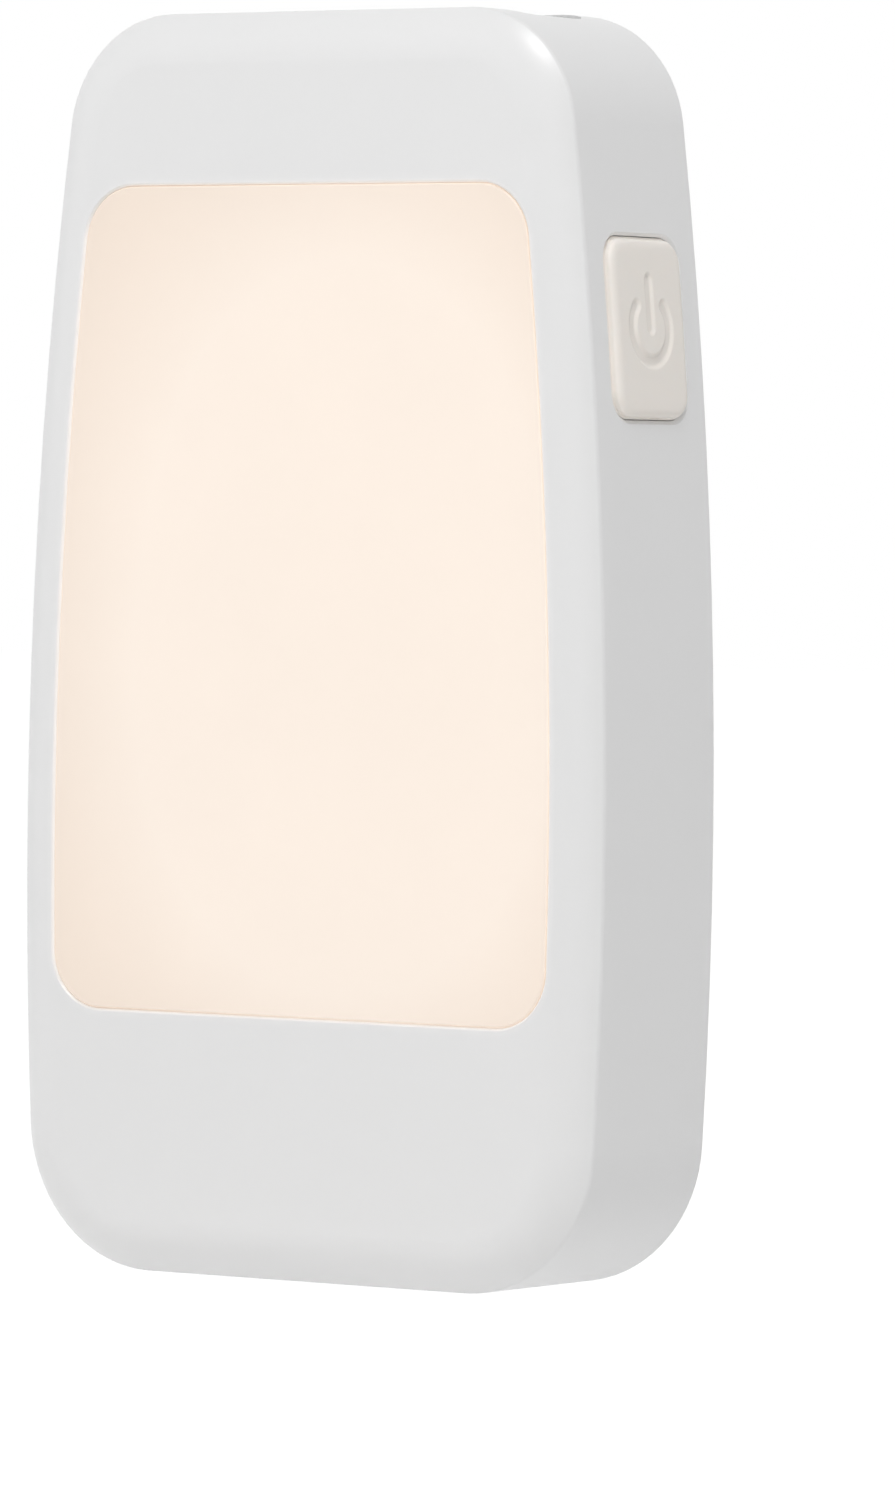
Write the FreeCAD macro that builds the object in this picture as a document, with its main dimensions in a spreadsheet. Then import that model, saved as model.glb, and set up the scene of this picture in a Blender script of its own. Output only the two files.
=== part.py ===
import FreeCAD, Part
import math
import os
import re

import Sketcher

# Plug-in night light with a fold-away plug, a side power button and a small torch window on top.
# Millimetres, +Z up. The front faces -Y, and +X is to the right of a person who looks at the front.
# The origin lies on the wall plane, midway between the two plug blades. Depths count from the wall
# plane towards the front, and heights from the bottom of the case, unless a name says otherwise.

SIZES = [
    ("body_height", 120.9, "case, bottom to top"),
    ("body_width", 67.06, "case, at its widest"),
    ("widest_height", 42.6, "height at which the case is widest"),
    ("side_radius", 528.0, "bow of the two long sides"),
    ("top_corner", 11.9, "upper corner radius"),
    ("bottom_corner", 14.4, "lower corner radius"),
    ("case_depth", 21.6, "wall plane to front face"),
    ("rim_arc", 6.4, "radius of the soft roll round the front"),
    ("rim_band", 4.9, "width of the roll, in from the case side"),
    ("rim_edge", 0.6, "round of the ridge between roll and side"),
    ("rear_round", 0.5, "round of the shell's rear rim"),
    ("shell_wall", 2.0, "side wall of the shell"),
    ("front_wall", 2.0, "front wall of the shell"),
    ("plug_height", 62.0, "plug centre above the case bottom"),
    ("cover_proud", 0.2, "rear cover beyond the shell's rear rim"),
    ("cover_fit", 0.15, "gap between rear cover and shell"),
    ("cover_plate", 2.0, "rear cover thickness"),
    ("cover_rim", 3.4, "depth of the cover's locating rim"),
    ("cover_rim_wall", 1.2, "thickness of the locating rim"),
    ("cover_round", 0.8, "round of the cover's outer edge"),
    ("panel_side", 4.95, "diffuser edge in from the case side"),
    ("panel_top", 16.6, "diffuser edge below the case top"),
    ("panel_bottom", 25.3, "diffuser edge above the case bottom"),
    ("panel_corner", 5.5, "diffuser corner radius"),
    ("panel_fit", 0.1, "gap round the diffuser"),
    ("panel_break", 0.2, "broken edge of diffuser and opening"),
    ("flange_reach", 1.6, "diffuser flange beyond its face"),
    ("flange_thick", 1.2, "diffuser flange thickness"),
    ("board_gap", 0.8, "main board to night light board"),
    ("tray_wall", 1.0, "reflector tray wall and floor"),
    ("light_spacing", 36.0, "between the two night lights"),
    ("light_size", 5.0, "night light package side"),
    ("light_thick", 1.5, "night light package height"),
    ("light_window", 6.4, "tray window round a night light"),
    ("led_board_width", 36.0, "night light board width"),
    ("led_board_height", 66.0, "night light board height"),
    ("led_board_thick", 1.0, "night light board thickness"),
    ("stake_radius", 0.9, "tray stake through the board"),
    ("stake_fit", 0.1, "gap round a stake"),
    ("stake_inset", 3.0, "stake in from the board's edges"),
    ("sensor_width", 3.0, "light sensor side"),
    ("sensor_inset", 3.0, "light sensor above its board's lower edge"),
    ("button_rear_gap", 0.6, "cover plate to button flange"),
    ("window_length", 42.0, "torch window along the case width"),
    ("window_width", 12.0, "torch window along the depth"),
    ("window_corner", 3.0, "torch window corner radius"),
    ("window_fit", 0.2, "gap round the torch lens"),
    ("lens_recess", 0.25, "torch lens below the case surface"),
    ("lens_flange_length", 31.0, "torch lens flange along the width"),
    ("lens_flange_reach", 0.9, "torch lens flange beyond the window"),
    ("lens_flange_thick", 1.6, "torch lens flange thickness"),
    ("torch_room", 1.8, "torch reflector to the upper bosses"),
    ("torch_width", 11.2, "torch reflector and board width"),
    ("torch_board_thick", 1.0, "torch board thickness"),
    ("board_drop", 5.4, "main board below the torch board"),
    ("torch_mouth_wall", 1.0, "torch reflector wall at its mouth"),
    ("torch_floor", 1.0, "torch reflector floor"),
    ("torch_taper", 20.0, "slope of the torch reflector walls, degrees"),
    ("torch_led_pitch", 10.0, "between the torch lights"),
    ("torch_led_size", 2.8, "torch light side"),
    ("torch_led_thick", 0.8, "torch light height"),
    ("shelf_offset", 14.0, "shelf rib, from the middle"),
    ("shelf_width", 3.0, "shelf rib width"),
    ("shelf_thick", 1.2, "shelf rib thickness"),
    ("shelf_gap", 1.0, "shelf rib to the cover's rim"),
    ("shelf_room", 1.3, "shelf rib above the diffuser's flange"),
    ("button_height", 17.3, "button opening height"),
    ("button_width", 12.6, "button opening along the depth"),
    ("button_drop", 30.0, "button centre below the case top"),
    ("button_corner", 2.6, "button opening corner radius"),
    ("button_gap", 0.3, "gap round the button"),
    ("button_proud", 0.6, "button beyond the case side"),
    ("button_round", 0.45, "round of the button's outer edge"),
    ("button_break", 0.35, "broken edge of the button opening"),
    ("button_flange", 1.0, "button flange beyond its opening"),
    ("button_plate", 1.0, "button flange thickness"),
    ("button_pusher", 1.9, "radius of the pusher behind the button"),
    ("pusher_length", 1.37, "pusher behind the button flange"),
    ("button_play", 0.15, "button flange behind the wall"),
    ("symbol_radius", 3.65, "power symbol, outer radius"),
    ("symbol_stroke", 1.1, "power symbol stroke"),
    ("symbol_gap", 3.4, "opening at the top of the symbol's ring"),
    ("symbol_bar_top", 5.1, "bar top above the ring centre"),
    ("symbol_bar_foot", 0.5, "bar foot below the ring centre"),
    ("symbol_depth", 0.3, "depth of the symbol's engraving"),
    ("symbol_round", 0.4, "end round of the symbol's bar"),
    ("board_room", 9.53, "main board edge in from the case side"),
    ("board_foot", 14.5, "main board's lower edge"),
    ("board_corner", 2.0, "main board corner radius"),
    ("board_clear", 0.2, "main board to the retainer screws"),
    ("board_thick", 1.2, "main board thickness"),
    ("post_radius", 2.5, "main board post"),
    ("post_inset", 3.5, "main board posts in from the board's edges"),
    ("case_screw_radius", 1.3, "case screw shank"),
    ("case_screw_length", 9.0, "case screw shank length"),
    ("case_screw_head", 2.4, "case screw head radius"),
    ("case_screw_cap", 1.5, "case screw head height"),
    ("case_screw_seat", 1.8, "depth of the case screw's seat"),
    ("screw_room", 0.3, "room round a screw head"),
    ("screw_pass", 0.15, "room round a shank that passes through"),
    ("thread_fit", 0.02, "room round a shank in its pilot hole"),
    ("dome_share", 0.55, "flat top of a screw head, share of its radius"),
    ("rim_share", 0.45, "height of a screw head's rim, share of the head"),
    ("point_share", 0.3, "flat end of a screw point, share of the shank"),
    ("slot_share", 0.13, "half width of the cross recess, share of the head"),
    ("slot_depth_share", 0.6, "depth of the cross recess, share of the head's height"),
    ("cup_radius", 3.8, "cover boss round a case screw"),
    ("boss_gap", 0.2, "shell boss to the cover's rim"),
    ("boss_radius", 3.2, "shell boss"),
    ("screw_high_side", 12.03, "upper case screws in from the case side"),
    ("screw_high_drop", 8.9, "upper case screws below the case top"),
    ("screw_low_side", 11.03, "lower case screws in from the case side"),
    ("screw_low", 8.5, "height of the lower case screws"),
    ("small_screw_radius", 1.0, "small screw shank"),
    ("small_screw_length", 5.0, "small screw shank length"),
    ("small_screw_head", 1.9, "small screw head radius"),
    ("small_screw_cap", 0.7, "small screw head height"),
    ("well_side", 3.3, "blade to the side of the plug well"),
    ("well_tip_room", 1.3, "folded blade tip to the end of the well"),
    ("well_block_room", 0.9, "plug block to the upper end of the well"),
    ("well_wall", 1.6, "plug well wall"),
    ("leaf_seat", 0.1, "spring leaf to the retainer plate"),
    ("pivot_depth", 3.9, "depth of the plug's pivot"),
    ("block_radius", 3.7, "plug block's turning radius"),
    ("block_flat", 3.35, "plug block flats from its pivot"),
    ("block_play", 0.3, "plug block to well wall"),
    ("trunnion_radius", 2.0, "plug block trunnion"),
    ("trunnion_fit", 0.05, "trunnion running fit"),
    ("trunnion_play", 0.15, "trunnion end to the well's outer face"),
    ("thumb_width", 14.0, "thumb recess under the blade tips"),
    ("thumb_height", 5.0, "thumb recess below the well"),
    ("thumb_depth", 1.2, "depth of the thumb recess"),
    ("thumb_corner", 2.4, "corner radius of the thumb recess"),
    ("notch_room", 0.5, "room round a piece that a rim notch clears"),
    ("blade_spacing", 12.7, "between the blade centres"),
    ("blade_width", 6.35, "blade width"),
    ("blade_thick", 1.5, "blade thickness"),
    ("blade_reach", 17.8, "blade beyond the wall plane"),
    ("blade_neck", 4.0, "width of the blade inside the block"),
    ("blade_tail_break", 0.5, "broken corner of the blade's tail"),
    ("blade_nose", 1.4, "bevel of the blade tip"),
    ("blade_break", 0.375, "broken edge of the blade tip"),
    ("blade_hole_radius", 1.6, "hole in the blade"),
    ("blade_hole_back", 5.6, "blade hole from the tip"),
    ("retainer_thick", 1.2, "plug retainer plate"),
    ("foot_strip", 6.4, "retainer plate beyond the well's lower wall"),
    ("ear_reach", 3.2, "retainer ears beyond the well's side walls"),
    ("ear_radius", 2.6, "retainer ear"),
    ("ear_post", 2.2, "post under the retainer"),
    ("foot_offset", 8.0, "lower retainer screws, from the middle"),
    ("foot_inset", 3.3, "lower retainer screws beyond the well's wall"),
    ("leaf_thick", 0.4, "spring leaf thickness"),
    ("leaf_room", 0.3, "spring leaf to the turning block"),
    ("leaf_width", 3.0, "contact spring width"),
    ("leaf_tip", 2.6, "contact spring below the plug centre"),
    ("leaf_step", 1.0, "contact spring beyond the well's upper wall"),
    ("leaf_notch", 0.4, "room round a contact spring in the wall"),
    ("detent_width", 5.0, "detent spring width"),
    ("detent_foot", 13.0, "detent spring foot below the plug centre"),
    ("detent_step", 6.0, "start of the detent's raised tongue"),
    ("battery_width", 28.0, "battery cell width"),
    ("battery_height", 22.0, "battery cell height"),
    ("battery_thick", 5.0, "battery cell thickness"),
    ("battery_round", 1.2, "battery cell edge round"),
    ("battery_side", -3.6, "battery centre, from the middle"),
    ("battery_rise", 1.3, "battery above the well's upper wall"),
    ("tape_thick", 0.5, "foam tape under the battery"),
    ("tape_inset", 3.0, "tape in from the battery's edges"),
    ("socket_room", 5.0, "battery edge to the socket centre"),
    ("socket_width", 6.0, "battery socket width"),
    ("socket_rise", 0.9, "battery socket above the battery's lower edge"),
    ("socket_height", 5.0, "battery socket height"),
    ("socket_thick", 6.2, "battery socket above the board"),
    ("socket_bite", 2.2, "wire cavity depth in the socket"),
    ("wire_radius", 0.5, "battery and torch wire radius"),
    ("wire_bend", 1.8, "wire bend radius"),
    ("wire_pitch", 2.5, "between the two wires of a pair"),
    ("battery_wire_depth", 5.4, "depth of the battery wires"),
    ("battery_wire_rise", 15.4, "battery wires above the battery's lower edge"),
    ("led_wire_radius", 0.4, "night light wire radius"),
    ("led_wire_bend", 0.8, "night light wire bend radius"),
    ("led_wire_drop", 4.2, "night light wires below their board"),
    ("torch_wire_rise", 1.9, "torch wires above the main board"),
    ("torch_wire_bend", 1.1, "torch wire bend radius"),
    ("torch_wire_inset", 2.2, "torch wires in from the main board's edge"),
    ("column_inset", 0.8, "components in from the board's side edges"),
    ("column_gap", 1.0, "between components in a column"),
    ("film_width", 7.6, "film capacitor width"),
    ("film_height", 13.0, "film capacitor length"),
    ("film_thick", 6.0, "film capacitor above the board"),
    ("film_round", 0.5, "film capacitor edge round"),
    ("can_radius", 3.15, "electrolytic capacitor radius"),
    ("can_length", 11.0, "electrolytic capacitor length"),
    ("can_groove", 0.35, "depth of the can's crimp groove"),
    ("can_groove_back", 1.8, "groove from the can's foot"),
    ("can_gap", 0.8, "between the two capacitors"),
    ("can_lift", 0.1, "capacitor above the board"),
    ("coil_radius", 3.8, "inductor flange radius"),
    ("coil_waist", 3.2, "inductor winding radius"),
    ("coil_thick", 6.4, "inductor above the board"),
    ("coil_flange", 1.2, "inductor flange thickness"),
    ("fuse_length", 9.0, "fuse resistor length"),
    ("fuse_radius", 1.7, "fuse resistor end radius"),
    ("fuse_waist", 1.4, "fuse resistor middle radius"),
    ("fuse_lift", 0.1, "fuse resistor above the board"),
    ("plug_rise", 3.6, "rectifier and controller above the plug centre"),
    ("bridge_width", 4.8, "bridge rectifier width"),
    ("bridge_height", 4.0, "bridge rectifier height"),
    ("bridge_thick", 2.5, "bridge rectifier above the board"),
    ("chip_width", 5.0, "controller chip width"),
    ("chip_height", 4.0, "controller chip height"),
    ("chip_thick", 1.6, "controller chip above the board"),
    ("part_break", 0.3, "broken edge of a small component"),
    ("switch_width", 6.0, "switch along the height"),
    ("switch_thick", 3.6, "switch above the board"),
    ("switch_length", 3.6, "switch along the width"),
    ("plunger_radius", 1.2, "switch plunger"),
    ("plunger_fit", 0.08, "switch plunger running fit"),
    ("plunger_bite", 1.4, "plunger inside the switch"),
    ("button_travel", 0.5, "travel of the button"),
    ("travel_room", 0.4, "room behind the plunger at full travel"),
]

# Places and sizes that follow from the ones above.
FOLLOWING = [
    ("ridge_depth", "case_depth - rim_arc + sqrt(rim_arc ^ 2 - rim_band ^ 2)", "depth of the front ridge"),
    ("well_half", "blade_spacing / 2 + blade_thick / 2 + well_side", "plug well half width"),
    ("well_low", "blade_reach + pivot_depth + well_tip_room", "plug well below the plug centre"),
    ("well_high", "block_radius + well_block_room", "plug well above the plug centre"),
    ("well_depth", "pivot_depth + block_radius + leaf_room + leaf_thick + leaf_seat", "plug well depth"),
    ("retainer_tail", "well_low + well_wall + foot_strip", "retainer plate below the plug centre"),
    ("ear_offset", "well_half + well_wall + ear_reach", "retainer ears, from the middle"),
    ("foot_drop", "well_low + well_wall + foot_inset", "lower retainer screws below the plug centre"),
    ("leaf_end", "well_high + well_wall + leaf_step", "contact spring above the plug centre"),
    ("board_depth", "well_depth + retainer_thick + small_screw_cap + board_clear", "main board's rear face"),
    ("tray_depth",
     "case_depth - front_wall - flange_thick - led_board_thick - board_gap - board_thick - board_depth",
     "reflector tray, front to back"),
    ("boss_depth", "cover_rim + boss_gap", "depth where cover boss and shell boss meet"),
    ("shelf_end", "cover_rim + shelf_gap", "depth at which a shelf rib ends"),
    ("screw_high_offset", "body_width / 2 - screw_high_side", "upper case screws, from the middle"),
    ("screw_high", "body_height - screw_high_drop", "height of the upper case screws"),
    ("screw_low_offset", "body_width / 2 - screw_low_side", "lower case screws, from the middle"),
    ("torch_length", "2 * (screw_high_offset - boss_radius - torch_room)", "torch reflector and board length"),
    ("torch_board_height", "body_height - panel_top + flange_reach + shelf_room + shelf_thick",
     "underside of the torch board"),
    ("board_width", "body_width - 2 * board_room", "main board width"),
    ("board_head", "torch_board_height - board_drop", "main board's upper edge"),
    ("post_offset", "board_width / 2 - post_inset", "main board posts, from the middle"),
    ("post_low", "board_foot + post_inset", "height of the lower posts"),
    ("post_high", "board_head - post_inset", "height of the upper posts"),
    ("side_line", "cover_plate + button_rear_gap + button_flange + button_width / 2",
     "depth of the button and torch window centres"),
    ("button_centre", "body_height - button_drop", "height of the button centre"),
    ("button_face",
     "body_width / 2 - side_radius + sqrt(side_radius ^ 2 - (button_centre - widest_height) ^ 2)",
     "case side at the button centre"),
    ("button_back", "button_face - shell_wall - button_play - button_plate - pusher_length",
     "inner end of the pusher, from the middle"),
    ("battery_foot", "plug_height + well_high + well_wall + battery_rise", "lower edge of the battery"),
    ("socket_side", "battery_side + battery_width / 2 + socket_room", "battery socket centre, from the middle"),
    ("socket_foot", "battery_foot + socket_rise", "battery socket lower edge"),
    ("battery_wire_height", "battery_foot + battery_wire_rise", "height at which the battery wires leave"),
    ("column_foot", "post_low + post_radius + column_gap", "lower end of the component columns"),
    ("film_side", "column_inset + film_width / 2 - board_width / 2", "film capacitor centre, from the middle"),
    ("can_side", "board_width / 2 - column_inset - can_radius", "electrolytic capacitors, from the middle"),
    ("coil_side", "column_inset + coil_radius - board_width / 2", "inductor centre, from the middle"),
    ("coil_centre", "column_foot + film_height + column_gap + coil_radius", "height of the inductor"),
    ("fuse_side", "column_inset + fuse_radius - board_width / 2", "fuse resistor, from the middle"),
    ("fuse_foot", "coil_centre + coil_radius + column_gap", "lower end of the fuse resistor"),
    ("bridge_side", "column_inset + bridge_width / 2 - board_width / 2", "bridge rectifier, from the middle"),
    ("chip_side", "board_width / 2 - column_inset - chip_width / 2", "controller chip, from the middle"),
    ("plug_column", "plug_height + plug_rise", "lower edge of the rectifier and the controller"),
    ("panel_centre", "(body_height - panel_top + panel_bottom) / 2", "height of the diffuser's centre"),
    ("led_wire_land", "panel_centre - led_board_height / 2 - led_wire_drop", "night light wires on the main board"),
    ("torch_wire_depth", "board_depth - torch_wire_rise", "depth of the torch wires"),
    ("torch_wire_land", "board_head - torch_wire_inset", "torch wires on the main board"),
]

doc = FreeCAD.newDocument("PlugInNightLight")
sheet = doc.addObject("Spreadsheet::Sheet", "Sizes")
for row, (alias, value, note) in enumerate(SIZES, start=1):
    sheet.set(f"A{row}", note)
    sheet.set(f"B{row}", str(value))
    sheet.setAlias(f"B{row}", alias)
for row, (alias, formula, note) in enumerate(FOLLOWING, start=len(SIZES) + 1):
    sheet.set(f"A{row}", note)
    sheet.set(f"B{row}", "=" + formula)
    sheet.setAlias(f"B{row}", alias)
doc.recompute()

ALIASES = {alias for alias, value, note in SIZES + FOLLOWING}
NAME = re.compile(r"[a-z_]+")
nodes = []


def linked(expression):
    """The expression with each size's name pointing at the sheet."""
    return NAME.sub(lambda found: "Sizes." + found[0] if found[0] in ALIASES else found[0], expression)


def number(expression):
    """The present value of an expression."""
    return float(sheet.evalExpression(linked(expression)))


def bind(target, prop, expression):
    """Ties one property of an object to the sheet."""
    target.setExpression(prop, linked(expression))


# Sketch geometry. Places and radii are expressions; the first geometry is drawn at its true place,
# so that the constraints only hold it there.

def vector(x, y):
    return FreeCAD.Vector(x, y, 0)


def hold(sketch, axis, geometry, point, expression):
    """Holds one coordinate of a sketch point at an expression."""
    value = number(expression)
    kind, line = (("DistanceX", -2), ("DistanceY", -1))[axis]
    if abs(value) < 1e-9:
        sketch.addConstraint(Sketcher.Constraint("PointOnObject", geometry, point, line))
    elif value > 0:
        index = sketch.addConstraint(Sketcher.Constraint(kind, -1, 1, geometry, point, value))
        bind(sketch, f"Constraints[{index}]", expression)
    else:
        index = sketch.addConstraint(Sketcher.Constraint(kind, geometry, point, -1, 1, -value))
        bind(sketch, f"Constraints[{index}]", f"-({expression})")


def hold_radius(sketch, geometry, expression):
    """Holds the radius of an arc or circle."""
    index = sketch.addConstraint(Sketcher.Constraint("Radius", geometry, number(expression)))
    bind(sketch, f"Constraints[{index}]", expression)


def disc(sketch, across, up, radius):
    """A circle."""
    centre = vector(number(across), number(up))
    circle = sketch.addGeometry(Part.Circle(centre, FreeCAD.Vector(0, 0, 1), number(radius)))
    hold(sketch, 0, circle, 3, across)
    hold(sketch, 1, circle, 3, up)
    hold_radius(sketch, circle, radius)


def polygon(sketch, corners):
    """A closed polygon through corners, each a pair of expressions."""
    places = [vector(number(across), number(up)) for across, up in corners]
    count = len(places)
    first = None
    for index, place in enumerate(places):
        line = sketch.addGeometry(Part.LineSegment(place, places[(index + 1) % count]))
        first = line if first is None else first
    for index, (across, up) in enumerate(corners):
        following = first + (index + 1) % count
        sketch.addConstraint(Sketcher.Constraint("Coincident", first + index, 2, following, 1))
        hold(sketch, 0, first + index, 1, across)
        hold(sketch, 1, first + index, 1, up)


def rectangle(sketch, left, right, low, high):
    """A rectangle with sharp corners."""
    polygon(sketch, [(left, low), (right, low), (right, high), (left, high)])


def arc(centre, radius, start, end):
    """An arc of a circle, anticlockwise from start to end, in degrees."""
    circle = Part.Circle(centre, FreeCAD.Vector(0, 0, 1), radius)
    return Part.ArcOfCircle(circle, math.radians(start), math.radians(end))


def rounded_rectangle(sketch, left, right, low, high, corner):
    """A rectangle whose four corners share one radius."""
    x0, x1, y0, y1, r = (number(text) for text in (left, right, low, high, corner))
    chain = [
        Part.LineSegment(vector(x0 + r, y0), vector(x1 - r, y0)),
        arc(vector(x1 - r, y0 + r), r, 270, 360),
        Part.LineSegment(vector(x1, y0 + r), vector(x1, y1 - r)),
        arc(vector(x1 - r, y1 - r), r, 0, 90),
        Part.LineSegment(vector(x1 - r, y1), vector(x0 + r, y1)),
        arc(vector(x0 + r, y1 - r), r, 90, 180),
        Part.LineSegment(vector(x0, y1 - r), vector(x0, y0 + r)),
        arc(vector(x0 + r, y0 + r), r, 180, 270),
    ]
    base = sketch.GeometryCount
    sketch.addGeometry(chain)
    for index in range(8):
        following = base + (index + 1) % 8
        sketch.addConstraint(Sketcher.Constraint("Tangent", base + index, 2, following, 1))
    for index in (0, 4):
        sketch.addConstraint(Sketcher.Constraint("Horizontal", base + index))
    for index in (2, 6):
        sketch.addConstraint(Sketcher.Constraint("Vertical", base + index))
    for index in (1, 3, 5, 7):
        hold_radius(sketch, base + index, corner)
    hold(sketch, 1, base, 1, low)
    hold(sketch, 0, base + 2, 1, right)
    hold(sketch, 1, base + 4, 1, high)
    hold(sketch, 0, base + 6, 1, left)


def corner_centre(side_x, side_height, side_radius, corner, height):
    """Centre of a corner arc that is tangent inside a right-hand side arc, at a given height."""
    reach = side_radius - corner
    return side_x + math.sqrt(reach ** 2 - (height - side_height) ** 2)


def case_outline(sketch, side, top, bottom, upper, lower):
    """The case's outline, with bowed sides, set in by side, top and bottom, with its corner radii."""
    bow_x = "body_width / 2 - side_radius"
    bow_radius = f"side_radius - ({side})"
    high = f"body_height - ({top})"
    cx, cz, radius = number(bow_x), number("widest_height"), number(bow_radius)
    z1, z0, r1, r0 = number(high), number(bottom), number(upper), number(lower)
    x1 = corner_centre(cx, cz, radius, r1, z1 - r1)
    x0 = corner_centre(cx, cz, radius, r0, z0 + r0)
    a1 = math.degrees(math.atan2(z1 - r1 - cz, x1 - cx))
    a0 = math.degrees(math.atan2(z0 + r0 - cz, x0 - cx))
    chain = [
        Part.LineSegment(vector(-x0, z0), vector(x0, z0)),
        arc(vector(x0, z0 + r0), r0, 270, 360 + a0),
        arc(vector(cx, cz), radius, a0, a1),
        arc(vector(x1, z1 - r1), r1, a1, 90),
        Part.LineSegment(vector(x1, z1), vector(-x1, z1)),
        arc(vector(-x1, z1 - r1), r1, 90, 180 - a1),
        arc(vector(-cx, cz), radius, 180 - a1, 180 - a0),
        arc(vector(-x0, z0 + r0), r0, 180 - a0, 270),
    ]
    base = sketch.GeometryCount
    sketch.addGeometry(chain)
    for index in range(8):
        following = base + (index + 1) % 8
        sketch.addConstraint(Sketcher.Constraint("Tangent", base + index, 2, following, 1))
    for index, expression in ((1, lower), (3, upper), (5, upper), (7, lower),
                              (2, bow_radius), (6, bow_radius)):
        hold_radius(sketch, base + index, expression)
    for index in (0, 4):
        sketch.addConstraint(Sketcher.Constraint("Horizontal", base + index))
    for index, across in ((2, bow_x), (6, f"-({bow_x})")):
        hold(sketch, 0, base + index, 3, across)
        hold(sketch, 1, base + index, 3, "widest_height")
    hold(sketch, 1, base, 1, bottom)
    hold(sketch, 1, base + 4, 1, high)


def inset_outline(sketch, inset):
    """The case's outline set in evenly."""
    case_outline(sketch, inset, inset, inset, f"top_corner - ({inset})", f"bottom_corner - ({inset})")


def panel_outline(sketch, growth):
    """The diffuser's outline, made larger all round by growth."""
    corner = f"panel_corner + {growth}"
    case_outline(sketch, f"panel_side - ({growth})", f"panel_top - ({growth})",
                 f"panel_bottom - ({growth})", corner, corner)


# Bodies and features. A sketch on the front plane looks at the light from the front: its depth is
# counted from the wall plane. A sketch on the side plane has -depth across and height up, and one on
# the top plane has the width across and -depth up.

FRONT, SIDE, TOP = "XZ_Plane", "YZ_Plane", "XY_Plane"


def new_body(label, lift):
    """An empty body, lifted by an expression."""
    body = doc.addObject("PartDesign::Body", label)
    body.Label = label
    bind(body, "Placement.Base.z", lift)
    return body


def new_sketch(body, plane, offset, draw):
    """A sketch on one of the body's own planes, at an offset along its normal."""
    sketch = body.newObject("Sketcher::SketchObject", body.Label + "_sketch")
    planes = [item for item in body.Origin.OriginFeatures if item.Role == plane]
    sketch.AttachmentSupport = [(planes[0], "")]
    sketch.MapMode = "FlatFace"
    bind(sketch, "AttachmentOffset.Base.z", offset)
    draw(sketch)
    sketch.Visibility = False
    return sketch


def pad(body, plane, offset, length, draw):
    """Adds material from the offset onwards."""
    feature = body.newObject("PartDesign::Pad", body.Label + "_pad")
    feature.Profile = new_sketch(body, plane, offset, draw)
    bind(feature, "Length", length)
    body.Tip = feature
    doc.recompute()
    return feature


def cut(body, plane, offset, length, draw):
    """Takes material away from the offset onwards, and makes sure that something was cut."""
    before = body.Shape.Volume
    feature = body.newObject("PartDesign::Pocket", body.Label + "_cut")
    feature.Profile = new_sketch(body, plane, offset, draw)
    feature.Reversed = True
    bind(feature, "Length", length)
    body.Tip = feature
    doc.recompute()
    if body.Shape.Volume > before - 1e-6:
        raise RuntimeError(f"{feature.Label} cuts nothing")
    return feature


def round_edges(body, radius, wanted, kind="Fillet"):
    """Rounds or chamfers the edges that a test picks."""
    tip = body.Tip
    picked = [f"Edge{n}" for n, edge in enumerate(tip.Shape.Edges, start=1) if wanted(edge)]
    if not picked:
        raise RuntimeError(f"{body.Label} has no such edge")
    feature = body.newObject("PartDesign::" + kind, body.Label + "_" + kind.lower())
    feature.Base = (tip, picked)
    bind(feature, "Radius" if kind == "Fillet" else "Size", radius)
    body.Tip = feature
    doc.recompute()
    return feature


def samples(edge):
    """Points at the ends and in the middle of an edge."""
    low, high = edge.ParameterRange
    return [edge.valueAt(low + (high - low) * share) for share in (0, 0.5, 1)]


def lies_at_depth(edge, expression):
    """Whether an edge lies in the plane of one depth."""
    return all(abs(point.y + number(expression)) < 1e-4 for point in samples(edge))


def keep(node):
    """Notes a finished sub-part."""
    nodes.append(node)
    return node


def compound(label, members):
    """One sub-part of several separate, alike solids."""
    group = doc.addObject("Part::Compound", label)
    group.Label = label
    group.Links = members
    return keep(group)


def place(item, x, depth, height):
    """Puts an object's base at a width, a depth and a height above the case bottom."""
    bind(item, "Placement.Base.x", x)
    bind(item, "Placement.Base.y", f"-({depth})")
    bind(item, "Placement.Base.z", f"{height} - plug_height")


def mirrored_pairs(offset, *heights):
    """Left and right positions at each height."""
    return [(sign + offset, height) for height in heights for sign in ("-", "")]


CASE = "-plug_height"
PLUG = "0"
CASE_SCREWS = mirrored_pairs("screw_high_offset", "screw_high") + mirrored_pairs("screw_low_offset", "screw_low")
BOARD_SCREWS = mirrored_pairs("post_offset", "post_low", "post_high")
RETAINER_SCREWS = (mirrored_pairs("ear_offset", "plug_height")
                   + mirrored_pairs("foot_offset", "plug_height - foot_drop"))
FRONT_INSIDE = "(case_depth - front_wall)"
TRAY_BACK = "(case_depth - front_wall - flange_thick - tray_depth)"
LED_BOARD_BACK = f"({TRAY_BACK} - led_board_thick)"
BOARD_FRONT = "(board_depth + board_thick)"
LEAF_DEPTH = "(pivot_depth + block_radius + leaf_room)"


def discs(places, radius):
    """A drawing of equal circles."""
    def draw(sketch):
        for across, up in places:
            disc(sketch, across, up, radius)
    return draw


def button_span(sketch, growth):
    """The button opening's outline on the side plane, made larger all round by growth."""
    rounded_rectangle(
        sketch,
        f"-(side_line + button_width / 2 + {growth})",
        f"-(side_line - button_width / 2 - {growth})",
        f"button_centre - button_height / 2 - {growth}",
        f"button_centre + button_height / 2 + {growth}",
        f"button_corner + {growth}")


def window_span(sketch, growth):
    """The torch window's outline on the top plane, made larger all round by growth."""
    rounded_rectangle(
        sketch,
        f"-(window_length / 2 + {growth})",
        f"window_length / 2 + {growth}",
        f"-(side_line + window_width / 2 + {growth})",
        f"-(side_line - window_width / 2 - {growth})",
        f"window_corner + {growth}")


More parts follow.
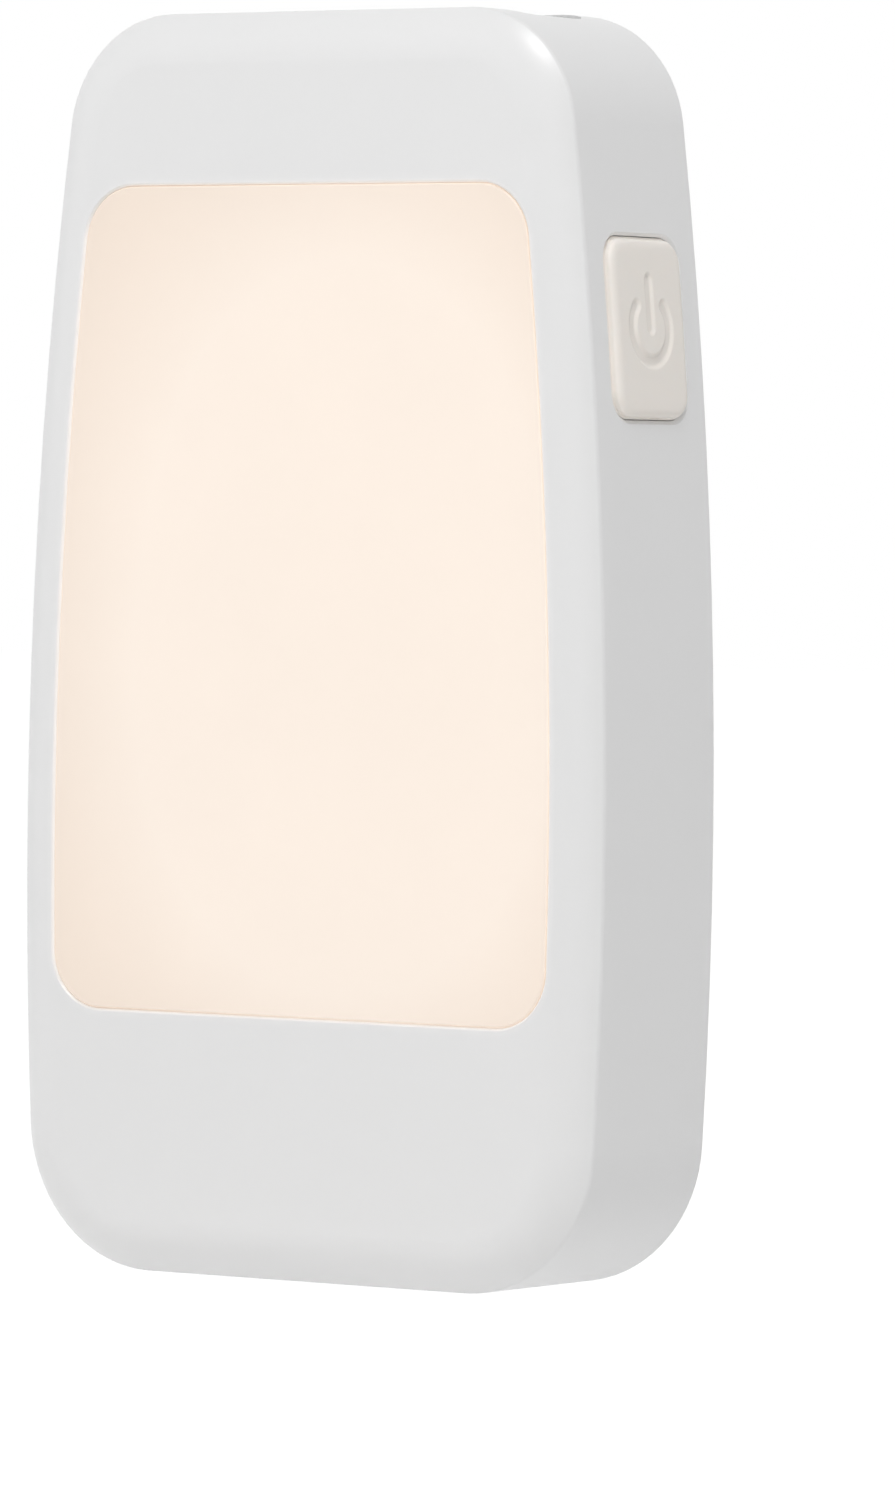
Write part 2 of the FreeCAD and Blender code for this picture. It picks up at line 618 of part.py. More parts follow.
def trim_to_outline(body, inset):
    """Takes away what stands outside the case's outline, set in by inset."""
    def draw(sketch):
        rectangle(sketch, "-body_width", "body_width", "-body_width", "body_height + body_width")
        inset_outline(sketch, inset)
    cut(body, FRONT, "-cover_proud", "case_depth + 2 * cover_proud", draw)


def on_side(edge):
    """Whether an edge of the button opening lies on the case's outer surface."""
    centre_x = number("body_width / 2 - side_radius")
    centre_z = number("widest_height")
    reach = number("button_width / 2") + 1e-3
    return all(
        abs(math.hypot(point.x - centre_x, point.z - centre_z) - number("side_radius")) < 1e-3
        and abs(point.y + number("side_line")) < reach
        and abs(point.z - number("button_centre")) < number("button_height / 2") + 1e-3
        for point in samples(edge))


def on_panel(edge):
    """Whether an edge of the panel opening lies on the front face."""
    inner = number("body_width / 2 - panel_side + panel_fit") + 1e-3
    return lies_at_depth(edge, "case_depth") and all(
        abs(point.x) < inner and point.z < number("body_height - panel_top + panel_fit") + 1e-3
        and point.z > number("panel_bottom - panel_fit") - 1e-3
        for point in samples(edge))


# The shell: a deep front whose face rolls down to a crisp ridge all round, open at the back. The roll
# is rounded on a larger outline, which is then trimmed to the case's own.

def make_front_housing():
    body = new_body("front_housing", CASE)
    pad(body, FRONT, "cover_proud", "case_depth - cover_proud",
        lambda s: inset_outline(s, "rim_band - rim_arc"))
    round_edges(body, "rim_arc", lambda edge: lies_at_depth(edge, "case_depth"))
    trim_to_outline(body, "0")
    round_edges(body, "rim_edge", lambda edge: lies_at_depth(edge, "ridge_depth"))
    round_edges(body, "rear_round", lambda edge: lies_at_depth(edge, "cover_proud"))
    cut(body, FRONT, "cover_proud", f"{FRONT_INSIDE} - cover_proud", lambda s: inset_outline(s, "shell_wall"))
    pad(body, FRONT, "boss_depth", "case_depth - front_wall / 2 - boss_depth",
        discs(CASE_SCREWS, "boss_radius"))
    for sign in (-1, 1):
        pad(body, FRONT, "shelf_end", "case_depth - front_wall / 2 - shelf_end",
            lambda s: rectangle(s, f"{sign} * shelf_offset - shelf_width / 2",
                                f"{sign} * shelf_offset + shelf_width / 2",
                                "torch_board_height - shelf_thick", "torch_board_height"))
    cut(body, FRONT, f"{FRONT_INSIDE} - flange_thick", "front_wall + 2 * flange_thick",
        lambda s: panel_outline(s, "panel_fit"))
    cut(body, TOP, "body_height - 2 * shell_wall", "3 * shell_wall", lambda s: window_span(s, "0"))
    cut(body, SIDE, "button_back", "body_width / 2 - button_back + shell_wall", lambda s: button_span(s, "0"))
    cut(body, FRONT, "boss_depth", "case_screw_length + case_screw_seat - boss_depth + screw_room",
        discs(CASE_SCREWS, "case_screw_radius + thread_fit"))
    round_edges(body, "panel_break", on_panel, "Chamfer")
    round_edges(body, "button_break", on_side, "Chamfer")
    return keep(body)


# The diffuser: a milky plate flush with the front, with a flange behind the front wall.

def make_front_diffuser():
    body = new_body("front_diffuser", CASE)
    pad(body, FRONT, f"{FRONT_INSIDE} - flange_thick", "flange_thick",
        lambda s: panel_outline(s, "flange_reach"))
    pad(body, FRONT, FRONT_INSIDE, "front_wall", lambda s: panel_outline(s, "0"))
    round_edges(body, "panel_break", lambda edge: lies_at_depth(edge, "case_depth"))
    return keep(body)


# The reflector tray: a white dish behind the diffuser, with a window for each light and four stakes.

def stakes():
    across = "led_board_width / 2 - stake_inset"
    low = "panel_centre - led_board_height / 2 + stake_inset"
    high = "panel_centre + led_board_height / 2 - stake_inset"
    return [(f"-({across})", low), (across, low), (f"-({across})", high), (across, high)]


def make_reflector_tray():
    body = new_body("reflector_tray", CASE)
    pad(body, FRONT, TRAY_BACK, "tray_depth", lambda s: panel_outline(s, "tray_wall"))
    cut(body, FRONT, f"{TRAY_BACK} + tray_wall", "tray_depth", lambda s: panel_outline(s, "0"))
    for sign in (-1, 1):
        middle = f"panel_centre + {sign} * light_spacing / 2"
        cut(body, FRONT, f"{TRAY_BACK} - tray_wall", "3 * tray_wall",
            lambda s: rectangle(s, "-light_window / 2", "light_window / 2",
                                f"{middle} - light_window / 2", f"{middle} + light_window / 2"))
    cut(body, FRONT, f"{TRAY_BACK} - tray_wall", "3 * tray_wall",
        lambda s: disc(s, "0", "panel_centre - led_board_height / 2 + sensor_inset", "sensor_width"))
    pad(body, FRONT, LED_BOARD_BACK, "led_board_thick + tray_wall / 2", discs(stakes(), "stake_radius"))
    return keep(body)


def make_led_board():
    body = new_body("led_board", CASE)
    pad(body, FRONT, LED_BOARD_BACK, "led_board_thick",
        lambda s: rounded_rectangle(s, "-led_board_width / 2", "led_board_width / 2",
                                    "panel_centre - led_board_height / 2",
                                    "panel_centre + led_board_height / 2", "board_corner"))
    cut(body, FRONT, f"{LED_BOARD_BACK} - led_board_thick", "3 * led_board_thick",
        discs(stakes(), "stake_radius + stake_fit"))
    return keep(body)


def block(label, x, width, depth, thick, height, tall):
    """A plain box, centred on x, from a depth forwards and from a height upwards."""
    box = doc.addObject("Part::Box", label)
    box.Label = label
    bind(box, "Length", width)
    bind(box, "Width", thick)
    bind(box, "Height", tall)
    place(box, f"{x} - ({width}) / 2", f"{depth} + ({thick})", height)
    return box


def broken_block(label, size, *span):
    """A box with all its edges chamfered."""
    box = block(label + "_blank", *span)
    doc.recompute()
    chamfer = doc.addObject("Part::Chamfer", label)
    chamfer.Label = label
    chamfer.Base = box
    chamfer.Edges = [(n, number(size), number(size)) for n in range(1, len(box.Shape.Edges) + 1)]
    return chamfer


def make_lights():
    lights = []
    for index, sign in enumerate((-1, 1)):
        middle = f"panel_centre + {sign} * light_spacing / 2"
        lights.append(broken_block(f"night_light_{index}", "part_break", "0", "light_size",
                                   TRAY_BACK, "light_thick", f"{middle} - light_size / 2", "light_size"))
    compound("night_leds", lights)
    keep(broken_block("light_sensor", "part_break", "0", "sensor_width", TRAY_BACK, "light_thick",
                      "panel_centre - led_board_height / 2 + sensor_inset - sensor_width / 2",
                      "sensor_width"))


# The torch on top: a lens that follows the case's corner, a reflector and its board.

LENS_FOOT = "(body_height - shell_wall - lens_flange_thick)"


def make_flashlight_lens():
    body = new_body("flashlight_lens", CASE)
    pad(body, TOP, LENS_FOOT, "shell_wall + lens_flange_thick", lambda s: window_span(s, "-window_fit"))
    trim_to_outline(body, "lens_recess")
    pad(body, TOP, LENS_FOOT, "lens_flange_thick",
        lambda s: rectangle(s, "-lens_flange_length / 2", "lens_flange_length / 2",
                            "-(side_line + window_width / 2 + lens_flange_reach)",
                            "-(side_line - window_width / 2 - lens_flange_reach)"))
    return keep(body)


def torch_rectangle(sketch, inset, corner):
    rounded_rectangle(sketch, f"-(torch_length / 2 - {inset})", f"torch_length / 2 - {inset}",
                      f"-(side_line + torch_width / 2 - {inset})",
                      f"-(side_line - torch_width / 2 + {inset})", corner)


def torch_places():
    return ["-torch_led_pitch", "0", "torch_led_pitch"]


def make_flashlight_reflector():
    base = "(torch_board_height + torch_board_thick)"
    body = new_body("flashlight_reflector", CASE)
    pad(body, TOP, base, f"{LENS_FOOT} - {base}", lambda s: torch_rectangle(s, "0", "board_corner"))
    before = body.Shape.Volume
    mouth = body.newObject("PartDesign::Pocket", "flashlight_reflector_mouth")
    mouth.Profile = new_sketch(body, TOP, LENS_FOOT,
                               lambda s: torch_rectangle(s, "torch_mouth_wall", "board_corner"))
    bind(mouth, "Length", f"{LENS_FOOT} - {base} - torch_floor")
    bind(mouth, "TaperAngle", "-torch_taper")
    body.Tip = mouth
    doc.recompute()
    if body.Shape.Volume > before - 1:
        raise RuntimeError("the torch reflector has no mouth")
    for across in torch_places():
        cut(body, TOP, f"{base} - torch_floor", "3 * torch_floor",
            lambda s: rectangle(s, f"{across} - torch_led_size / 2 - screw_room",
                                f"{across} + torch_led_size / 2 + screw_room",
                                "-(side_line + torch_led_size / 2 + screw_room)",
                                "-(side_line - torch_led_size / 2 - screw_room)"))
    return keep(body)


def make_flashlight_board():
    body = new_body("flashlight_board", CASE)
    pad(body, TOP, "torch_board_height", "torch_board_thick",
        lambda s: torch_rectangle(s, "0", "board_corner"))
    return keep(body)


def make_flashlight_leds():
    lights = [broken_block(f"torch_light_{index}", "part_break / 2", across, "torch_led_size",
                           "side_line - torch_led_size / 2", "torch_led_size",
                           "torch_board_height + torch_board_thick", "torch_led_thick")
              for index, across in enumerate(torch_places())]
    compound("flashlight_leds", lights)


# The rear cover: a plate with a locating rim, the plug well, screw cups and posts.

def make_rear_cover():
    body = new_body("rear_cover", CASE)
    plate_inset = "shell_wall + cover_fit"
    half_plate = "cover_plate / 2"
    pad(body, FRONT, "0", "cover_rim", lambda s: inset_outline(s, plate_inset))
    round_edges(body, "cover_round", lambda edge: lies_at_depth(edge, "0"))
    cut(body, FRONT, "cover_plate", "cover_rim",
        lambda s: inset_outline(s, plate_inset + " + cover_rim_wall"))
    cut(body, FRONT, "cover_plate", "cover_rim",
        lambda s: rectangle(s, "-lens_flange_length / 2 - notch_room", "lens_flange_length / 2 + notch_room",
                            f"{LENS_FOOT} - notch_room", "body_height"))
    reach = "(button_height / 2 + button_flange + notch_room)"
    cut(body, FRONT, "cover_plate", "cover_rim",
        lambda s: rectangle(s, "button_back - notch_room", "body_width",
                            f"button_centre - {reach}", f"button_centre + {reach}"))
    pad(body, FRONT, half_plate, f"well_depth - {half_plate}",
        lambda s: rectangle(s, "-(well_half + well_wall)", "well_half + well_wall",
                            "plug_height - well_low - well_wall", "plug_height + well_high + well_wall"))
    pad(body, FRONT, half_plate, f"boss_depth - {half_plate}", discs(CASE_SCREWS, "cup_radius"))
    pad(body, FRONT, half_plate, f"board_depth - {half_plate}", discs(BOARD_SCREWS, "post_radius"))
    pad(body, FRONT, half_plate, f"well_depth - {half_plate}", discs(RETAINER_SCREWS, "ear_post"))
    cut(body, FRONT, "-cover_plate", "well_depth + 2 * cover_plate",
        lambda s: rectangle(s, "-well_half", "well_half",
                            "plug_height - well_low", "plug_height + well_high"))
    cut(body, FRONT, "-cover_plate", "cover_plate + thumb_depth",
        lambda s: rounded_rectangle(s, "-thumb_width / 2", "thumb_width / 2",
                                    "plug_height - well_low - thumb_height",
                                    "plug_height - well_low + thumb_height",
                                    "thumb_corner"))
    saddle = "(trunnion_radius + trunnion_fit)"
    saddle_start = "-(well_half + well_wall + trunnion_fit)"
    saddle_length = "2 * (well_half + well_wall + trunnion_fit)"
    cut(body, SIDE, saddle_start, saddle_length, lambda s: disc(s, "-pivot_depth", "plug_height", saddle))
    cut(body, SIDE, saddle_start, saddle_length,
        lambda s: rectangle(s, "-(well_depth + trunnion_radius)", "-pivot_depth",
                            f"plug_height - {saddle}", f"plug_height + {saddle}"))
    for sign in (-1, 1):
        cut(body, FRONT, f"{LEAF_DEPTH} - leaf_notch", "well_depth",
            lambda s: rectangle(s, f"{sign} * blade_spacing / 2 - leaf_width / 2 - leaf_notch",
                                f"{sign} * blade_spacing / 2 + leaf_width / 2 + leaf_notch",
                                "plug_height + well_high - leaf_notch",
                                "plug_height + well_high + well_wall + leaf_notch"))
    cut(body, FRONT, "-cover_plate", "cover_plate + case_screw_seat",
        discs(CASE_SCREWS, "case_screw_head + screw_room"))
    cut(body, FRONT, "0", "boss_depth + cover_plate", discs(CASE_SCREWS, "case_screw_radius + screw_pass"))
    pilot = "small_screw_radius + thread_fit"
    cut(body, FRONT, f"{BOARD_FRONT} - small_screw_length - screw_room", "small_screw_length",
        discs(BOARD_SCREWS, pilot))
    cut(body, FRONT, "well_depth + retainer_thick - small_screw_length - screw_room", "small_screw_length",
        discs(RETAINER_SCREWS, pilot))
    return keep(body)


# Screws: a domed pan head with a cross recess and a plain shank with a short point, along the depth.

def screw(label, x, depth, height, sizes, to_front):
    """One screw whose head seats at a depth; its shank points to the front or to the wall."""
    radius, length, head, cap = sizes
    body = doc.addObject("PartDesign::Body", label)
    body.Label = label

    def profile(sketch):
        polygon(sketch, [("0", f"-{cap}"), (f"{head} * dome_share", f"-{cap}"), (head, f"-{cap} * rim_share"),
                         (head, "0"), (radius, "0"), (radius, f"{length} - {radius}"),
                         (f"{radius} * point_share", length), ("0", length)])
    turned = body.newObject("PartDesign::Revolution", label + "_turned")
    sketch = new_sketch(body, TOP, "0", profile)
    turned.Profile = sketch
    turned.ReferenceAxis = (sketch, ["V_Axis"])
    turned.Angle = 360
    body.Tip = turned
    doc.recompute()
    long, narrow = f"{head} * dome_share", f"{head} * slot_share"
    for wide, tall in ((long, narrow), (narrow, long)):
        before = body.Shape.Volume
        slot = body.newObject("PartDesign::Pocket", label + "_slot")
        slot.Profile = new_sketch(body, FRONT, cap,
                                  lambda s: rectangle(s, f"-{wide}", wide, f"-{tall}", tall))
        bind(slot, "Length", f"{cap} * slot_depth_share")
        body.Tip = slot
        doc.recompute()
        if body.Shape.Volume > before - 1e-6:
            raise RuntimeError(label + " has no cross recess")
    if to_front:
        body.Placement.Rotation = FreeCAD.Rotation(FreeCAD.Vector(0, 0, 1), 180)
    place(body, x, depth, height)
    return body


CASE_SCREW = ("case_screw_radius", "case_screw_length", "case_screw_head", "case_screw_cap")
SMALL_SCREW = ("small_screw_radius", "small_screw_length", "small_screw_head", "small_screw_cap")


def make_screws():
    for label, places, depth, sizes, to_front in (
            ("housing_screws", CASE_SCREWS, "case_screw_seat", CASE_SCREW, True),
            ("board_screws", BOARD_SCREWS, BOARD_FRONT, SMALL_SCREW, False),
            ("retainer_screws", RETAINER_SCREWS, "well_depth + retainer_thick", SMALL_SCREW, False)):
        compound(label, [screw(f"{label}_{n}", x, depth, height, sizes, to_front)
                         for n, (x, height) in enumerate(places)])


# The fold-away plug: two blades in a block that turns on its own trunnions.

def make_plug_block():
    body = new_body("plug_block", PLUG)
    half = "(well_half - block_play)"
    tip = "(well_half + well_wall - trunnion_play)"
    pad(body, SIDE, f"-{half}", f"2 * {half}", lambda s: disc(s, "-pivot_depth", "0", "block_radius"))
    outside = "2 * block_radius"
    back, front = f"-{outside} - pivot_depth", f"{outside} - pivot_depth"
    for low, high, left, right in (
            (f"-{outside}", outside, back, "-pivot_depth - block_flat"),
            ("block_flat", outside, back, front),
            (f"-{outside}", "-block_flat", back, front),
            (f"-{outside}", outside, "-pivot_depth + block_flat", front)):
        cut(body, SIDE, f"-{half} - block_play", f"2 * ({half} + block_play)",
            lambda s: rectangle(s, left, right, low, high))
    pad(body, SIDE, f"-{tip}", f"2 * {tip}", lambda s: disc(s, "-pivot_depth", "0", "trunnion_radius"))
    for sign in (-1, 1):
        cut(body, FRONT, "pivot_depth - 2 * block_radius", "4 * block_radius",
            lambda s: rectangle(s, f"{sign} * blade_spacing / 2 - blade_thick / 2",
                                f"{sign} * blade_spacing / 2 + blade_thick / 2",
                                "-blade_neck / 2", "blade_neck / 2"))
    return keep(body)


def make_blade(label, sign):
    """A flat blade with a bevelled tip, a round hole and a narrower neck that ends flush in the block."""
    body = new_body(label, PLUG)
    start = f"{sign} * blade_spacing / 2 - blade_thick / 2"

    def draw(sketch):
        tail = "-(pivot_depth + block_flat)"
        shoulder = "-(pivot_depth - block_flat)"
        polygon(sketch, [(tail, "-blade_neck / 2 + blade_tail_break"),
                         (f"{tail} + blade_tail_break", "-blade_neck / 2"),
                         (shoulder, "-blade_neck / 2"),
                         (shoulder, "-blade_width / 2"),
                         ("blade_reach - blade_nose", "-blade_width / 2"),
                         ("blade_reach", "-blade_width / 2 + blade_nose"),
                         ("blade_reach", "blade_width / 2 - blade_nose"),
                         ("blade_reach - blade_nose", "blade_width / 2"),
                         (shoulder, "blade_width / 2"),
                         (shoulder, "blade_neck / 2"),
                         (f"{tail} + blade_tail_break", "blade_neck / 2"),
                         (tail, "blade_neck / 2 - blade_tail_break")])
    pad(body, SIDE, start, "blade_thick", draw)
    cut(body, SIDE, f"{start} - blade_thick", "3 * blade_thick",
        lambda s: disc(s, "blade_reach - blade_hole_back", "0", "blade_hole_radius"))
    round_edges(body, "blade_break", lambda edge: all(
        point.y > number("blade_reach - blade_nose") - 1e-3 for point in samples(edge)) and abs(
            samples(edge)[0].x - samples(edge)[2].x) < 1e-6, "Chamfer")
    return keep(body)


# The plug retainer closes the well from inside, holds the trunnions and carries the springs.

def make_plug_retainer():
    body = new_body("plug_retainer", PLUG)
    pad(body, FRONT, "well_depth", "retainer_thick",
        lambda s: rectangle(s, "-(well_half + well_wall)", "well_half + well_wall",
                            "-retainer_tail", "well_high + well_wall"))
    pad(body, FRONT, "well_depth", "retainer_thick",
        lambda s: rounded_rectangle(s, "-(ear_offset + ear_radius)", "ear_offset + ear_radius",
                                    "-ear_radius", "ear_radius", "ear_radius - trunnion_fit"))
    for sign in (-1, 1):
        middle = f"{sign} * (well_half + well_wall / 2)"
        pad(body, FRONT, "pivot_depth + trunnion_radius + trunnion_fit",
            "well_depth + retainer_thick / 2 - (pivot_depth + trunnion_radius + trunnion_fit)",
            lambda s: rectangle(s, f"{middle} - well_wall / 2", f"{middle} + well_wall / 2",
                                "-trunnion_radius", "trunnion_radius"))
    cut(body, FRONT, "well_depth - retainer_thick", "3 * retainer_thick",
        discs([(x, f"{height} - plug_height") for x, height in RETAINER_SCREWS],
              "small_screw_radius + screw_pass"))
    return keep(body)


def make_contact_spring(label, sign):
    """A strip under the blade's tail that passes the well's wall and turns to the main board."""
    body = new_body(label, PLUG)
    pad(body, SIDE, f"{sign} * blade_spacing / 2 - leaf_width / 2", "leaf_width",
        lambda s: polygon(s, [(f"-({LEAF_DEPTH} + leaf_thick)", "-leaf_tip"),
                              (f"-{LEAF_DEPTH}", "-leaf_tip"),
                              (f"-{LEAF_DEPTH}", "leaf_end"),
                              ("-board_depth", "leaf_end"),
                              ("-board_depth", "leaf_end - leaf_thick"),
                              (f"-({LEAF_DEPTH} + leaf_thick)", "leaf_end - leaf_thick")]))
    return keep(body)


def make_detent_spring():
    """A leaf on the retainer whose raised tongue lies under the block's flat."""
    body = new_body("detent_spring", PLUG)
    floor = "well_depth"
    pad(body, SIDE, "-detent_width / 2", "detent_width",
        lambda s: polygon(s, [(f"-{floor}", "-detent_foot"),
                              (f"-({floor} - leaf_thick)", "-detent_foot"),
                              (f"-({floor} - leaf_thick)", "-detent_step - leaf_thick"),
                              (f"-{LEAF_DEPTH}", "-detent_step + leaf_thick"),
                              (f"-{LEAF_DEPTH}", "leaf_tip"),
                              (f"-({LEAF_DEPTH} + leaf_thick / 2)", "leaf_tip"),
                              (f"-({LEAF_DEPTH} + leaf_thick / 2)", "-detent_step"),
                              (f"-{floor}", "-detent_step - 2 * leaf_thick")]))
    return keep(body)


# The main board and what it carries on its rear face.

def make_main_board():
    body = new_body("main_board", CASE)
    pad(body, FRONT, "board_depth", "board_thick",
        lambda s: rounded_rectangle(s, "-board_width / 2", "board_width / 2",
                                    "board_foot", "board_head", "board_corner"))
    cut(body, FRONT, "board_depth - board_thick", "3 * board_thick",
        discs(BOARD_SCREWS, "small_screw_radius + screw_pass"))
    return keep(body)


def turned_body(label, x, depth, height, profile):
    """A turned part that stands up along the height; the profile has the radius across."""
    body = doc.addObject("PartDesign::Body", label)
    body.Label = label
    turned = body.newObject("PartDesign::Revolution", label + "_turned")
    sketch = new_sketch(body, FRONT, "0", lambda s: polygon(s, profile))
    turned.Profile = sketch
    turned.ReferenceAxis = (sketch, ["V_Axis"])
    turned.Angle = 360
    body.Tip = turned
    place(body, x, depth, height)
    doc.recompute()
    return body


def make_electrolytic_capacitors():
    cans = []
    for index in range(2):
        profile = [("0", "0"), ("can_radius - part_break", "0"), ("can_radius", "part_break"),
                   ("can_radius", "can_groove_back - can_groove"),
                   ("can_radius - can_groove", "can_groove_back"),
                   ("can_radius", "can_groove_back + can_groove"),
                   ("can_radius", "can_length - part_break"),
                   ("can_radius - part_break", "can_length"), ("0", "can_length")]
        cans.append(turned_body(f"capacitor_{index}", "can_side",
                                "board_depth - can_lift - can_radius",
                                f"column_foot + {index} * (can_length + can_gap)", profile))
    compound("electrolytic_capacitors", cans)


def make_fuse_resistor():
    waist = "fuse_length / 5"
    profile = [("0", "0"), ("fuse_radius - part_break", "0"), ("fuse_radius", "part_break"),
               ("fuse_radius", waist), ("fuse_waist", f"{waist} + part_break"),
               ("fuse_waist", f"fuse_length - {waist} - part_break"),
               ("fuse_radius", f"fuse_length - {waist}"),
               ("fuse_radius", "fuse_length - part_break"),
               ("fuse_radius - part_break", "fuse_length"), ("0", "fuse_length")]
    return keep(turned_body("fuse_resistor", "fuse_side", "board_depth - fuse_lift - fuse_radius",
                            "fuse_foot", profile))


def make_power_inductor():
    """A drum core with its winding, which stands on the board."""
    body = new_body("power_inductor", CASE)
    base = "(board_depth - coil_thick)"
    for depth, length, radius in ((base, "coil_flange", "coil_radius"),
                                  (f"{base} + coil_flange", "coil_thick - 2 * coil_flange", "coil_waist"),
                                  ("board_depth - coil_flange", "coil_flange", "coil_radius")):
        pad(body, FRONT, depth, length, lambda s: disc(s, "coil_side", "coil_centre", radius))
    return keep(body)


def make_components():
    keep(broken_block("film_capacitor", "film_round", "film_side", "film_width",
                      "board_depth - film_thick", "film_thick", "column_foot", "film_height"))
    keep(broken_block("bridge_rectifier", "part_break", "bridge_side", "bridge_width",
                      "board_depth - bridge_thick", "bridge_thick", "plug_column", "bridge_height"))
    keep(broken_block("controller_chip", "part_break", "chip_side", "chip_width",
                      "board_depth - chip_thick", "chip_thick", "plug_column", "chip_height"))


# The battery on its foam tape, with its socket.

def make_battery():
    body = new_body("battery_cell", CASE)
    depth = "(cover_plate + tape_thick)"
    pad(body, FRONT, depth, "battery_thick",
        lambda s: rounded_rectangle(s, "battery_side - battery_width / 2", "battery_side + battery_width / 2",
                                    "battery_foot", "battery_foot + battery_height", "battery_round"))
    round_edges(body, "battery_round", lambda edge: lies_at_depth(edge, depth)
                or lies_at_depth(edge, f"{depth} + battery_thick"))
    keep(body)
    keep(block("battery_tape", "battery_side", "battery_width - 2 * tape_inset", "cover_plate", "tape_thick",
               "battery_foot + tape_inset", "battery_height - 2 * tape_inset"))


def make_battery_socket():
    body = new_body("battery_socket", CASE)
    pad(body, FRONT, "board_depth - socket_thick", "socket_thick",
        lambda s: rectangle(s, "socket_side - socket_width / 2", "socket_side + socket_width / 2",
                            "socket_foot", "socket_foot + socket_height"))
    cut(body, TOP, "socket_foot + socket_height - socket_bite", "2 * socket_bite",
        discs([(x, "-battery_wire_depth") for x in socket_places()], "wire_radius + stake_fit"))
    return keep(body)


def socket_places():
    return ["socket_side - wire_pitch / 2", "socket_side + wire_pitch / 2"]


def tube(label, corners, radius, bend):
    """A wire of straight runs joined by tangent arcs, through corners given as x, depth, height."""
    points = [FreeCAD.Vector(number(x), -number(depth), number(f"{height} - plug_height"))
              for x, depth, height in corners]
    edges = []
    start = points[0]
    turn = number(bend)
    for before, corner, after in zip(points, points[1:], points[2:]):
        back = (before - corner).normalize()
        ahead = (after - corner).normalize()
        half = back.getAngle(ahead) / 2
        arc_start = corner + back * (turn / math.tan(half))
        arc_end = corner + ahead * (turn / math.tan(half))
        middle = corner + (back + ahead).normalize() * (turn / math.sin(half) - turn)
        edges.append(Part.LineSegment(start, arc_start).toShape())
        edges.append(Part.Arc(arc_start, middle, arc_end).toShape())
        start = arc_end
    edges.append(Part.LineSegment(start, points[-1]).toShape())
    path = Part.Wire(edges)
    section = Part.Wire(Part.Circle(points[0], points[1] - points[0], number(radius)).toShape())
    solid = path.makePipeShell([section], True, False)
    expected = math.pi * number(radius) ** 2 * path.Length
    if abs(solid.Volume - expected) > 0.01 * expected:
        raise RuntimeError(f"{label} has the wrong volume")
    wire = doc.addObject("Part::Feature", label)
    wire.Shape = solid
    return wire


def make_leads():
    edge = "battery_side + battery_width / 2"
    mouth = "socket_foot + socket_height - socket_bite"
    heights = ("battery_wire_height", "battery_wire_height + wire_pitch")
    compound("battery_leads", [
        tube(f"battery_lead_{n}",
             [(edge, "battery_wire_depth", height), (x, "battery_wire_depth", height),
              (x, "battery_wire_depth", mouth)],
             "wire_radius", "wire_bend")
        for n, (x, height) in enumerate(zip(socket_places(), heights))])
    board_foot = "panel_centre - led_board_height / 2"
    led_depth = f"{TRAY_BACK} - led_board_thick / 2"
    compound("led_leads", [
        tube(f"led_lead_{n}",
             [(x, led_depth, board_foot), (x, led_depth, "led_wire_land"), (x, BOARD_FRONT, "led_wire_land")],
             "led_wire_radius", "led_wire_bend")
        for n, x in enumerate(("-wire_pitch / 2", "wire_pitch / 2"))])
    compound("flashlight_leads", [
        tube(f"torch_lead_{n}",
             [(x, "torch_wire_depth", "torch_board_height"), (x, "torch_wire_depth", "torch_wire_land"),
              (x, "board_depth", "torch_wire_land")],
             "wire_radius", "torch_wire_bend")
        for n, x in enumerate(("-wire_pitch / 2", "wire_pitch / 2"))])


# The side button, its plunger and the switch on the main board's edge.

SWITCH_OUT = "board_width / 2"
PLUNGER_DEPTH = "board_depth - switch_thick / 2"


def make_switch():
    body = new_body("switch_body", CASE)
    pad(body, SIDE, f"{SWITCH_OUT} - switch_length", "switch_length",
        lambda s: rectangle(s, "-board_depth", "-(board_depth - switch_thick)",
                            "button_centre - switch_width / 2", "button_centre + switch_width / 2"))
    cut(body, SIDE, f"{SWITCH_OUT} - plunger_bite - button_travel - travel_room", "switch_length",
        lambda s: disc(s, f"-({PLUNGER_DEPTH})", "button_centre", "plunger_radius + plunger_fit"))
    keep(body)
    plunger = new_body("switch_plunger", CASE)
    pad(plunger, SIDE, f"{SWITCH_OUT} - plunger_bite", f"button_back - ({SWITCH_OUT}) + plunger_bite",
        lambda s: disc(s, f"-({PLUNGER_DEPTH})", "button_centre", "plunger_radius"))
    keep(plunger)


